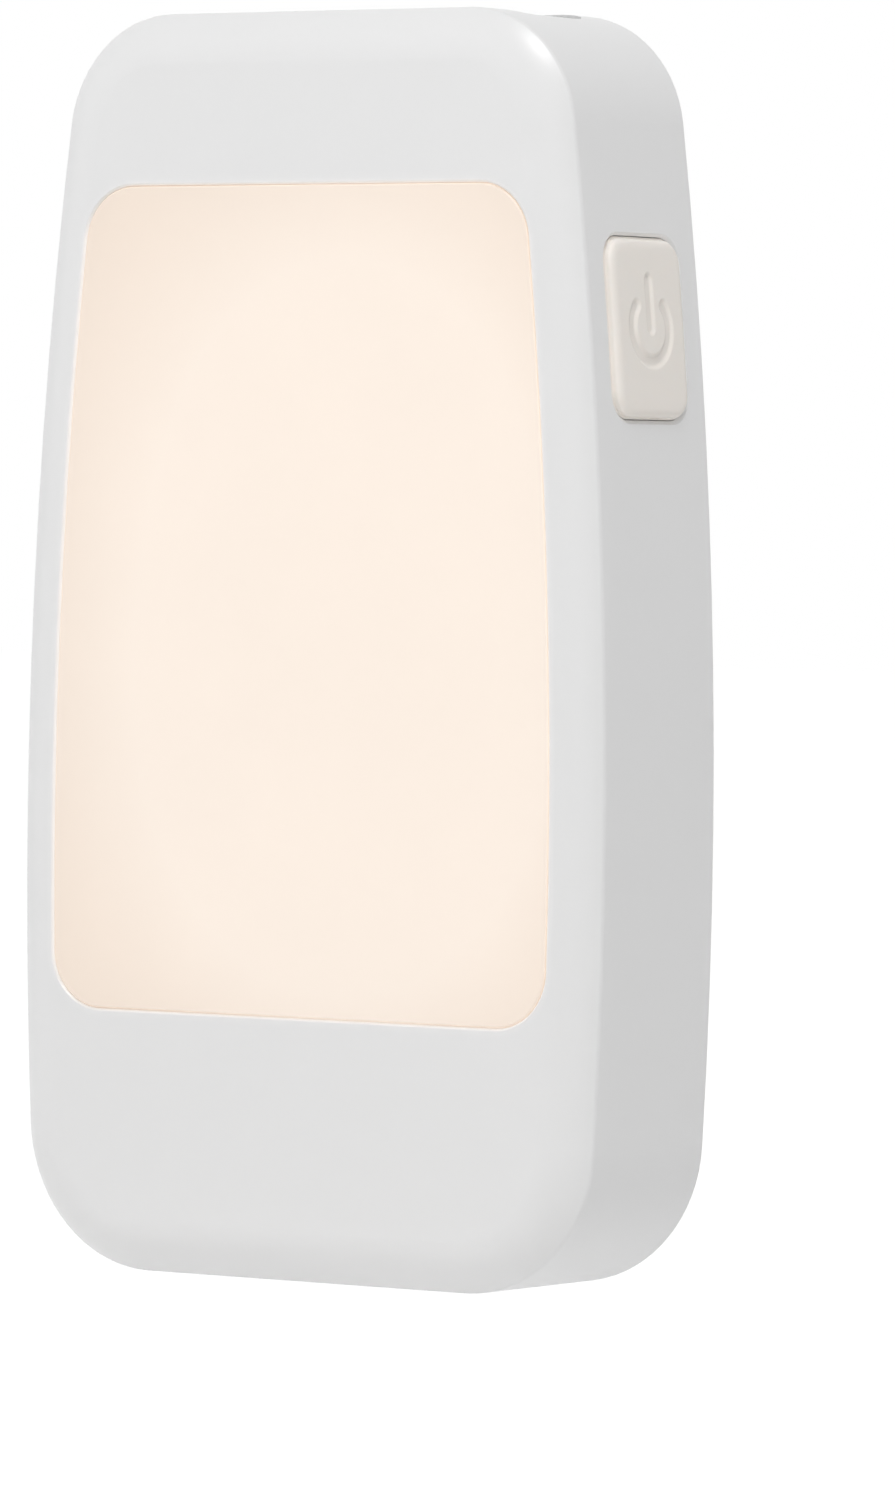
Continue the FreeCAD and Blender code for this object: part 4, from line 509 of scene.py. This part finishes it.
def closed_foam():
    """Closed-cell foam of a mounting tape: pale and matt, with small open cells at the cut edge."""
    return moulded("foam_tape", linear("#e6e6e1"), roughness=0.85, ior=1.45,
                   grain=0.18 * MM, relief=0.05 * MM, mottle=0.06)


def wire_sleeve(name, colour):
    """Extruded flexible sleeve of a hook-up wire: bright, smooth and a little waxy."""
    return moulded(name, colour, roughness=0.36, ior=1.54, grain=0.5 * MM, relief=0.003 * MM, mottle=0.04)


def copper_enamel():
    """Drawn copper wire under clear enamel: a warm metal under a glossy amber film."""
    material, tree = new_material("copper_enamel")
    point = add_node(tree, "TexCoord")["Object"]
    marks = add_node(tree, "TexNoise", {"Vector": point, "Scale": 1 / (0.3 * MM), "Detail": 3.0})["Fac"]
    shader = add_node(tree, "BsdfPrincipled", {
        "Base Color": add_node(tree, "Mix", {0: marks, 6: linear("#a8562c"), 7: linear("#c4703c")},
                               data_type="RGBA")[2],
        "Roughness": add_node(tree, "MapRange", {"Value": marks, "From Min": 0.3, "From Max": 0.7,
                                                 "To Min": 0.25, "To Max": 0.35})[0],
        "Metallic": 1.0, "Coat Weight": 0.8, "Coat Roughness": 0.12})
    add_node(tree, "OutputMaterial", {"Surface": shader[0]})
    return material


def paint(material, *nodes):
    """Gives CAD nodes one material on all their slots."""
    for node in nodes:
        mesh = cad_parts[node].data
        if not mesh.materials:
            mesh.materials.append(material)
        for index in range(len(mesh.materials)):
            mesh.materials[index] = material


def side_face(height):
    """The case's right side at a height: x = W - R + sqrt(R^2 - (z - z0)^2), a bow about its widest
    height z0."""
    return HALF_WIDTH - SIDE_RADIUS + np.sqrt(SIDE_RADIUS ** 2 - (height - WIDEST) ** 2)


def box_outline(half, corner, angle):
    """Where rays from the middle meet a rounded rectangle: t = min(h1/|cos a|, h2/|sin a|) on the sides,
    and t = d.C + sqrt((d.C)^2 - |C|^2 + r^2) on a corner of radius r about C."""
    across, up = np.abs(np.cos(angle)), np.abs(np.sin(angle))
    side = np.minimum(half[0] / np.maximum(across, 1e-9), half[1] / np.maximum(up, 1e-9))
    centre = half[0] - corner, half[1] - corner
    along = across * centre[0] + up * centre[1]
    bend = along + np.sqrt(np.maximum(along ** 2 - centre[0] ** 2 - centre[1] ** 2 + corner ** 2, 0))
    cornered = (side * across > centre[0]) & (side * up > centre[1])
    reach = np.where(cornered, bend, side)
    return np.stack([reach * np.cos(angle), reach * np.sin(angle)], axis=-1)


def power_groove(across, up, look):
    """Depth of the symbol's groove: depth S(-d / blur), where d is the distance to an open ring of radius R
    and stroke w, or to the bar, a capsule, and S is a smooth step."""
    half = look.symbol_stroke / 2
    gap = math.asin((SYMBOL_OPENING + half) / look.symbol_radius)
    end = look.symbol_radius * np.array([math.sin(gap), math.cos(gap)])
    on_ring = np.arctan2(np.abs(across), up) > gap
    ring = np.abs(np.hypot(across, up) - look.symbol_radius)
    tip = np.hypot(np.abs(across) - end[0], up - end[1])
    bar = np.hypot(across, up - np.clip(up, BAR_FOOT + half, BAR_TOP - half))
    distance = np.minimum(np.where(on_ring, ring, tip), bar) - half
    step = np.clip(0.5 - distance / GROOVE_BLUR, 0, 1)
    return look.symbol_depth * step * step * (3 - 2 * step)


def button_rings(look):
    """The button: rings P(i, a) = (X(z) + o_i, y0 + u, z0 + v), where (u, v) runs round a rounded rectangle
    inset by s_i and X is the case's bowed side. The face is s = pillow at full height less the groove, the
    edge is a quarter round, and below it follow the lip, the flange and the pusher. Returns the rings and
    the groove's depth at every point."""
    angle = np.linspace(0, 2 * np.pi, 360, endpoint=False)
    turn = np.linspace(0, np.pi / 2, 12)
    rolled = np.stack([look.pillow * (1 - np.sin(turn)), CAP_PROUD - CAP_ROLL * (1 - np.cos(turn))], axis=-1)
    profile = np.concatenate([rolled, np.array(CAP_LIP + CAP_FLANGE) * MM])
    outlines = np.stack([box_outline((CAP_HALF[0] - inset, CAP_HALF[1] - inset), CAP_CORNER - inset, angle)
                         for inset in profile[:, 0]])
    share = np.linspace(0, 1, 90)[1:-1, None, None]
    plane = np.concatenate([outlines[:1] * share, outlines])
    level = np.concatenate([np.full(len(share), CAP_PROUD), profile[:, 1]])[:, None]
    face = len(share) + 1
    groove = np.zeros(plane.shape[:2])
    groove[:face] = power_groove(plane[:face, :, 0], plane[:face, :, 1], look)
    height = plane[..., 1] + BUTTON_HEIGHT
    rings = np.stack([side_face(height) + level - groove, plane[..., 0] + BUTTON_DEPTH, height], axis=-1)
    circle = np.stack([np.zeros_like(angle), PUSHER_DEPTH + PUSHER_RADIUS * np.cos(angle),
                       BUTTON_HEIGHT + PUSHER_RADIUS * np.sin(angle)], axis=-1)
    root = circle + rings[-1, :, :1] * [1, 0, 0]
    tip = circle + [PUSHER_END, 0, 0]
    pusher = np.stack([(rings[-1] + root) / 2, root, (root + tip) / 2, tip])
    depths = np.concatenate([groove.ravel(), np.zeros(pusher[..., 0].size + 2)])
    return np.concatenate([rings, pusher]), depths


def winding_rings(turns):
    """The wire on the inductor: a barrel with the wire's round ribs on one helix,
    r = r0 + w sqrt(1 - (2 f - 1)^2), f = frac(turns t - a / 2 pi), where t runs along the core."""
    share = np.linspace(0, 1, 210)[:, None]
    angle = np.linspace(0, 2 * np.pi, 96, endpoint=False)
    across = 2 * ((turns * share - angle / (2 * np.pi)) % 1) - 1
    radius = COIL_RADIUS + COIL_RIB * np.sqrt(np.maximum(1 - across ** 2, 0))
    along = COIL_START + COIL_LENGTH * share + 0 * angle
    return np.stack([COIL_ACROSS + radius * np.cos(angle), along, COIL_HEIGHT + radius * np.sin(angle)],
                    axis=-1)


def leg_rings(across, side):
    """A flat leg swept along a bent path in the y-z plane: out of the package, down in a rounded S to the
    board and out along it. The corners are a rectangle about P(s), turned with the path's normal."""
    share = np.linspace(0, 1, 14)
    fall = share * share * (3 - 2 * share)
    run = np.concatenate([[LEG_ROOT], LEG_SHOULDER + LEG_BEND * share, [LEG_TOE]])
    rise = np.concatenate([[LEG_HIGH], LEG_HIGH + (LEG_LOW - LEG_HIGH) * fall, [LEG_LOW]])
    along = np.stack([np.gradient(run), np.gradient(rise)], axis=-1)
    along /= np.linalg.norm(along, axis=-1, keepdims=True)
    wide = LEG_HALF_WIDE * np.array([-1, 1, 1, -1])
    thick = LEG_HALF_THICK * np.array([-1, -1, 1, 1])
    out = run[:, None] - along[:, 1:] * thick
    up = rise[:, None] + along[:, :1] * thick
    return np.stack([across + wide + 0 * out, BOARD_REAR + up,
                     PACKAGE_HEIGHT + side * (PACKAGE_HALF + out)], axis=-1)


class CaseLook(bpy.types.PropertyGroup):
    """Sizes and colours of the case and its lit front that a user would change."""
    case_white: FloatVectorProperty(name="Case white", description="Colour of the moulded case",
                                    subtype="COLOR", size=3, min=0, max=1, default=linear("#efefef"))
    opal: FloatVectorProperty(name="Opal", description="Colour of the unlit diffuser",
                              subtype="COLOR", size=3, min=0, max=1, default=linear("#c9c2b8"))
    lamp: FloatVectorProperty(name="Lamp", description="Colour of the night light at its brightest",
                              subtype="COLOR", size=3, min=0, max=1, default=linear("#ffecdf"))
    lamp_edge: FloatVectorProperty(name="Lamp edge", description="Colour of the night light at the corners",
                                   subtype="COLOR", size=3, min=0, max=1, default=linear("#ffe1cb"))
    glow_low: FloatProperty(name="Dim glow", description="Glow at the diffuser's corners",
                            default=0.342, min=0)
    glow_high: FloatProperty(name="Bright glow", description="Glow over the lights",
                             default=0.450, min=0)
    spot_reach: FloatProperty(name="Spot reach", description="Radius at which a spot has halved",
                              default=30 * MM, unit="LENGTH", min=0.001)
    spot_shift: FloatProperty(name="Spot shift", description="How far the spots lie right of the middle",
                              default=5 * MM, unit="LENGTH")
    # The next three set the case's painted glow round the diffuser: its width, its extra in the joint, and
    # its strength.
    painted_bleed_reach: FloatProperty(name="Bleed reach", description="Width of the glow in the case wall",
                               default=1.2 * MM, unit="LENGTH", min=0.0001)
    painted_seam_glow: FloatProperty(name="Seam glow", description="Extra glow in the joint round the diffuser",
                             default=2.0, min=0)
    painted_bleed_strength: FloatProperty(name="Bleed strength", description="Glow of the case at the diffuser",
                                  default=0.05, min=0)


class ButtonLook(bpy.types.PropertyGroup):
    """The soft button's colour and the shape of its face."""
    white: FloatVectorProperty(name="Button white", description="Colour of the soft button",
                               subtype="COLOR", size=3, min=0, max=1, default=linear("#f9f3ec"))
    pillow: FloatProperty(name="Pillow", description="Width over which the cap's edge rolls down",
                          default=0.9 * MM, unit="LENGTH", min=0.0002)
    symbol_radius: FloatProperty(name="Symbol radius", description="Middle line of the symbol's ring",
                                 default=3.1 * MM, unit="LENGTH", min=0.001)
    symbol_stroke: FloatProperty(name="Symbol stroke", description="Width of the symbol's lines",
                                 default=1.1 * MM, unit="LENGTH", min=0.0002)
    symbol_depth: FloatProperty(name="Symbol depth", description="Depth of the symbol's soft groove",
                                default=0.25 * MM, unit="LENGTH", min=0)


class DetailLook(bpy.types.PropertyGroup):
    """Small parts of the electronics that a user would change."""
    coil_turns: FloatProperty(name="Coil turns", description="Turns that show on the inductor",
                              default=13, min=3)
    solder_height: FloatProperty(name="Solder height", description="Height of a solder joint",
                                 default=0.5 * MM, unit="LENGTH", min=0.0001)
    phosphor_rise: FloatProperty(name="Phosphor rise", description="Rise of the phosphor over its package",
                                 default=0.2 * MM, unit="LENGTH", min=0.00005)


class StageLook(bpy.types.PropertyGroup):
    """The studio's light levels."""
    room_level: FloatProperty(name="Room light", description="Level of the even light in front",
                              default=0.212, min=0)
    back_level: FloatProperty(name="Back light", description="Level of the even light behind",
                              default=0.614, min=0)
    key_power: FloatProperty(name="Key light", description="Power of the large lamp at the upper left",
                             default=0.40, min=0, unit="POWER")
    top_power: FloatProperty(name="Top light", description="Power of the small lamp above the front",
                             default=1.72, min=0, unit="POWER")
    table_level: FloatProperty(name="Table light", description="Level of the light from the floor",
                               default=0.045, min=0)
    left_power: FloatProperty(name="Left light", description="Power of the large lamp at the left",
                              default=3.50, min=0, unit="POWER")
    front_power: FloatProperty(name="Front light", description="Power of the large lamp in front",
                               default=3.20, min=0, unit="POWER")


class NIGHTLIGHT_OT_case(bpy.types.Operator):
    """Paint the shell, the rear cover, the diffuser and the tray behind it"""
    bl_idname = "nightlight.case"
    bl_label = "Case and Diffuser"

    def execute(self, context):
        look = context.scene.night_light_case
        paint(white_abs(look), "front_housing", "rear_cover")
        paint(milky_diffuser(look), "front_diffuser")
        paint(gloss_white(), "reflector_tray")
        return {"FINISHED"}


class NIGHTLIGHT_OT_button(bpy.types.Operator):
    """Build the soft button and paint the switch behind it"""
    bl_idname = "nightlight.button"
    bl_label = "Side Button"

    def execute(self, context):
        look = context.scene.night_light_button
        rings, groove = button_rings(look)
        button = add_piece("button_cap", [rings], silicone_rubber(tuple(look.white)), "button", 60.0)
        # The groove's depth share is kept on the cap, where its material turns it into painted shade.
        share = button.data.attributes.new("groove", "FLOAT", "POINT")
        share.data.foreach_set("value", (groove / max(look.symbol_depth, 1e-6)).astype(np.float32))
        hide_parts("power_button")
        paint(black_nylon(), "switch_body", "switch_plunger")
        return {"FINISHED"}


class NIGHTLIGHT_OT_lights(bpy.types.Operator):
    """Paint the night lights and lay the phosphor in every light package"""
    bl_idname = "nightlight.lights"
    bl_label = "Light Packages"

    def execute(self, context):
        rise = context.scene.night_light_detail.phosphor_rise
        turn = np.linspace(0.02, 1, 10) * np.pi / 2
        dome = np.concatenate([np.stack([np.sin(turn), rise * np.cos(turn)], axis=-1), [[1.0, -0.1 * MM]]])
        parts = [turned(dome * [LIGHT_CUP, 1], (0, LIGHT_FACE, PANEL_MIDDLE + side * LIGHT_SPACING / 2),
                        (0, -1, 0)) for side in (-1, 1)]
        parts += [turned(dome * [TORCH_CUP, 1], (step * TORCH_SPACING, TORCH_DEPTH, TORCH_FACE), (0, 0, 1))
                  for step in (-1, 0, 1)]
        add_piece("phosphor_domes", parts, phosphor(tuple(context.scene.night_light_case.lamp)), "case")
        paint(light_package(), "night_leds", "flashlight_leds")
        paint(smoked_epoxy(), "light_sensor")
        return {"FINISHED"}


class NIGHTLIGHT_OT_torch(bpy.types.Operator):
    """Paint the torch's clear window and its plated reflector"""
    bl_idname = "nightlight.torch"
    bl_label = "Torch"

    def execute(self, context):
        paint(clear_polycarbonate(), "flashlight_lens")
        paint(metal("plated_reflector", linear("#e3e4e7"), roughness=0.12, grain=0.5 * MM,
                    relief=0.0005 * MM), "flashlight_reflector")
        return {"FINISHED"}


class NIGHTLIGHT_OT_plug(bpy.types.Operator):
    """Paint the folding plug: its block, blades, retainer and springs"""
    bl_idname = "nightlight.plug"
    bl_label = "Folding Plug"

    def execute(self, context):
        paint(filled_nylon(), "plug_block", "plug_retainer")
        rolled = {"grain": 0.4 * MM, "relief": 0.002 * MM, "stretch": (6, 1, 1)}
        paint(metal("nickel_brass", linear("#cfcbc0"), roughness=0.26, **rolled),
              "plug_blade_left", "plug_blade_right")
        paint(metal("spring_bronze", linear("#d2a070"), roughness=0.3, **rolled),
              "contact_spring_left", "contact_spring_right")
        paint(metal("spring_steel", linear("#bcbdbf"), roughness=0.28, **rolled), "detent_spring")
        return {"FINISHED"}


class NIGHTLIGHT_OT_boards(bpy.types.Operator):
    """Paint the boards and the parts that stand on them"""
    bl_idname = "nightlight.boards"
    bl_label = "Boards"

    def execute(self, context):
        paint(solder_mask("white_board", linear("#eeeeea"), roughness=0.35), "led_board", "flashlight_board")
        paint(solder_mask("green_board", linear("#1f6b3f"), roughness=0.3), "main_board")
        paint(film_box(), "film_capacitor")
        paint(shrink_sleeve(), "electrolytic_capacitors")
        paint(transfer_epoxy(), "bridge_rectifier", "controller_chip")
        paint(conformal_coat(), "fuse_resistor")
        return {"FINISHED"}


class NIGHTLIGHT_OT_coil(bpy.types.Operator):
    """Paint the inductor's core and wind its coil"""
    bl_idname = "nightlight.coil"
    bl_label = "Inductor Coil"

    def execute(self, context):
        turns = context.scene.night_light_detail.coil_turns
        add_piece("coil_winding", [winding_rings(turns)], copper_enamel(), "case", 80.0)
        paint(sintered_ferrite(), "power_inductor")
        return {"FINISHED"}


class NIGHTLIGHT_OT_solder(bpy.types.Operator):
    """Set solder joints on the main board's front"""
    bl_idname = "nightlight.solder"
    bl_label = "Solder Joints"

    def execute(self, context):
        height = context.scene.night_light_detail.solder_height
        share = np.linspace(0, 1, 9)
        slope = SOLDER_NECK + (SOLDER_REACH - SOLDER_NECK) * (1 - share) ** 2
        profile = np.concatenate([[[SOLDER_REACH, -0.05 * MM]], np.stack([slope, share * height], axis=-1),
                                  [[PIN_RADIUS, height + PIN_RISE]]])
        joints = [turned(profile, (across * MM, BOARD_FRONT, up * MM), (0, -1, 0), 24)
                  for places in SOLDER_PLACES.values() for across, up in places]
        solder = metal("solder", linear("#c9cbcd"), roughness=0.22, grain=0.3 * MM, relief=0.002 * MM)
        add_piece("solder_joints", joints, solder, "case")
        return {"FINISHED"}


class NIGHTLIGHT_OT_legs(bpy.types.Operator):
    """Bend the legs of the rectifier and the chip down to the board"""
    bl_idname = "nightlight.legs"
    bl_label = "Chip Legs"

    def execute(self, context):
        legs = [leg_rings((middle + place) * MM, side)
                for middle, places in LEG_ROWS for side in (-1, 1) for place in places]
        tin = metal("tinned_copper", linear("#cccccb"), roughness=0.3, grain=0.3 * MM, relief=0.002 * MM)
        add_piece("chip_legs", legs, tin, "case")
        return {"FINISHED"}


class NIGHTLIGHT_OT_battery(bpy.types.Operator):
    """Paint the battery, its tape and socket, and all the wires"""
    bl_idname = "nightlight.battery"
    bl_label = "Battery and Wires"

    def execute(self, context):
        paint(metal("battery_foil", linear("#c6c8cc"), roughness=0.38, grain=1.6 * MM, relief=0.02 * MM),
              "battery_cell")
        paint(closed_foam(), "battery_tape")
        paint(natural_nylon(), "battery_socket")
        paint(wire_sleeve("wire_red", linear("#c62f28")), "battery_leads")
        paint(wire_sleeve("wire_white", linear("#ebebe8")), "led_leads", "flashlight_leads")
        return {"FINISHED"}


class NIGHTLIGHT_OT_screws(bpy.types.Operator):
    """Paint the screws"""
    bl_idname = "nightlight.screws"
    bl_label = "Screws"

    def execute(self, context):
        paint(metal("plated_screws", linear("#c5c7c8"), roughness=0.3, grain=0.35 * MM, relief=0.003 * MM),
              "housing_screws", "board_screws", "retainer_screws")
        return {"FINISHED"}


class NIGHTLIGHT_OT_stage(bpy.types.Operator):
    """Build the floor, the room light, the lamps and the camera"""
    bl_idname = "nightlight.stage"
    bl_label = "Studio"

    def execute(self, context):
        look = context.scene.night_light_stage
        build_room(look.room_level, look.back_level)
        build_floor(look.table_level)
        build_lamp("left_lamp", (-0.95, -0.40, 0.10), LAMP_WIDTH, look.left_power, False)
        build_lamp("front_lamp", (0.50, -0.95, 0.10), LAMP_WIDTH, look.front_power, False)
        build_lamp("key_lamp", (-0.45, -0.80, 0.45), LAMP_WIDTH, look.key_power)
        build_lamp("top_lamp", (0.20, -0.27, 0.58), TOP_LAMP_WIDTH, look.top_power)
        context.scene.camera = build_camera()
        context.scene.view_settings.view_transform = "Standard"
        return {"FINISHED"}


def background_ray(tree):
    """1 for rays that show the background itself: to the camera, in a reflection or through glass."""
    path = add_node(tree, "LightPath")
    seen = add_node(tree, "Math", {0: path["Is Camera Ray"], 1: path["Is Glossy Ray"]},
                    operation="MAXIMUM")[0]
    return add_node(tree, "Math", {0: seen, 1: path["Is Transmission Ray"]}, operation="MAXIMUM")[0]


def build_room(front, back):
    """A soft white room: white where it is seen. The light that it gives changes evenly from one level in
    front of the object to another behind it."""
    world = bpy.data.worlds.new("room")
    bpy.context.scene.world = world
    world.use_nodes = True
    tree = world.node_tree
    tree.nodes.clear()
    way = add_node(tree, "TexCoord")["Generated"]
    behind = add_node(tree, "SeparateXYZ", {"Vector": way})["Y"]
    level = add_node(tree, "MapRange", {"Value": behind, "From Min": -0.1, "From Max": 0.7,
                                        "To Min": front, "To Max": back})[0]
    strength = add_node(tree, "MapRange", {"Value": background_ray(tree), "To Min": level, "To Max": 1.0})[0]
    background = add_node(tree, "Background", {"Color": (1, 1, 1), "Strength": strength})
    add_node(tree, "OutputWorld", {"Surface": background[0]})


def build_floor(level):
    """A wide pale floor just below the case: white where it is seen, less the object's soft shadow."""
    mesh = bpy.data.meshes.new("floor")
    corners = [(across * FLOOR_REACH, back * FLOOR_REACH, FLOOR_HEIGHT)
               for across, back in ((-1, -1), (1, -1), (1, 1), (-1, 1))]
    mesh.from_pydata(corners, [], [(0, 1, 2, 3)])
    floor = bpy.data.objects.new("floor", mesh)
    bpy.context.scene.collection.objects.link(floor)
    material, tree = new_material("studio_floor")
    seen = background_ray(tree)
    tone = add_node(tree, "Mix", {0: seen, 6: (0.86, 0.86, 0.86), 7: (0.35, 0.35, 0.35)}, data_type="RGBA")[2]
    glow = add_node(tree, "MapRange", {"Value": seen, "To Min": level, "To Max": FLOOR_WHITE})[0]
    lit = add_node(tree, "BsdfDiffuse", {"Color": tone})
    own = add_node(tree, "Emission", {"Color": (1, 1, 1), "Strength": glow})
    both = add_node(tree, "AddShader", {0: lit[0], 1: own[0]})
    add_node(tree, "OutputMaterial", {"Surface": both[0]})
    mesh.materials.append(material)
    return floor


def build_lamp(name, place, size, power, mirrored=True):
    """A square soft box at a place, aimed at the middle of the object. One that isn't mirrored lights the
    surfaces without a highlight of its own, as a very large soft source does."""
    data = bpy.data.lights.new(name, "AREA")
    data.size = size
    data.energy = power
    lamp = bpy.data.objects.new(name, data)
    bpy.context.scene.collection.objects.link(lamp)
    lamp.location = place
    lamp.rotation_euler = (-Vector(place)).to_track_quat("-Z", "Y").to_euler()
    lamp.visible_glossy = mirrored
    return lamp


def build_camera():
    """The camera at the photograph's angle: to the right of the front and level with the middle."""
    azimuth, elevation = math.radians(CAMERA_AZIMUTH), math.radians(CAMERA_ELEVATION)
    roll = math.radians(CAMERA_ROLL)
    back = Vector((math.sin(azimuth) * math.cos(elevation), -math.cos(azimuth) * math.cos(elevation),
                   math.sin(elevation)))
    right = Vector((math.cos(azimuth), math.sin(azimuth), 0))
    up = back.cross(right)
    axes = (right * math.cos(roll) + up * math.sin(roll), up * math.cos(roll) - right * math.sin(roll), back)
    data = bpy.data.cameras.new("camera")
    data.sensor_width = CAMERA_SENSOR
    data.lens = CAMERA_LENS
    data.shift_x, data.shift_y = CAMERA_SHIFT
    data.clip_start, data.clip_end = CAMERA_CLIP
    camera = bpy.data.objects.new("camera", data)
    bpy.context.scene.collection.objects.link(camera)
    place = Vector(CAMERA_TARGET) + back * CAMERA_DISTANCE
    camera.matrix_world = Matrix.Translation(place) @ Matrix(axes).transposed().to_4x4()
    return camera


class NIGHTLIGHT_PT_panel(bpy.types.Panel):
    """The night light's steps and settings"""
    bl_label = "Night Light"
    bl_idname = "NIGHTLIGHT_PT_panel"
    bl_space_type = "VIEW_3D"
    bl_region_type = "UI"
    bl_category = "Night Light"

    def draw(self, context):
        for step in STEPS:
            self.layout.operator(step.bl_idname)
        for group in (getattr(context.scene, name) for name in GROUPS):
            for name in group.bl_rna.properties.keys():
                if name not in ("rna_type", "name"):
                    self.layout.prop(group, name)


GROUPS = {"night_light_case": CaseLook, "night_light_button": ButtonLook,
          "night_light_detail": DetailLook, "night_light_stage": StageLook}
STEPS = (NIGHTLIGHT_OT_case, NIGHTLIGHT_OT_button, NIGHTLIGHT_OT_lights, NIGHTLIGHT_OT_torch,
         NIGHTLIGHT_OT_plug, NIGHTLIGHT_OT_boards, NIGHTLIGHT_OT_coil, NIGHTLIGHT_OT_solder,
         NIGHTLIGHT_OT_legs, NIGHTLIGHT_OT_battery, NIGHTLIGHT_OT_screws, NIGHTLIGHT_OT_stage)
CLASSES = (*GROUPS.values(), *STEPS, NIGHTLIGHT_PT_panel)


def register():
    for item in CLASSES:
        bpy.utils.register_class(item)
    for name, group in GROUPS.items():
        setattr(bpy.types.Scene, name, PointerProperty(type=group))


def unregister():
    for name in GROUPS:
        delattr(bpy.types.Scene, name)
    for item in reversed(CLASSES):
        bpy.utils.unregister_class(item)


def main():
    register()
    for step in STEPS:
        group, name = step.bl_idname.split(".")
        getattr(getattr(bpy.ops, group), name)()


if __name__ == "__main__":
    main()
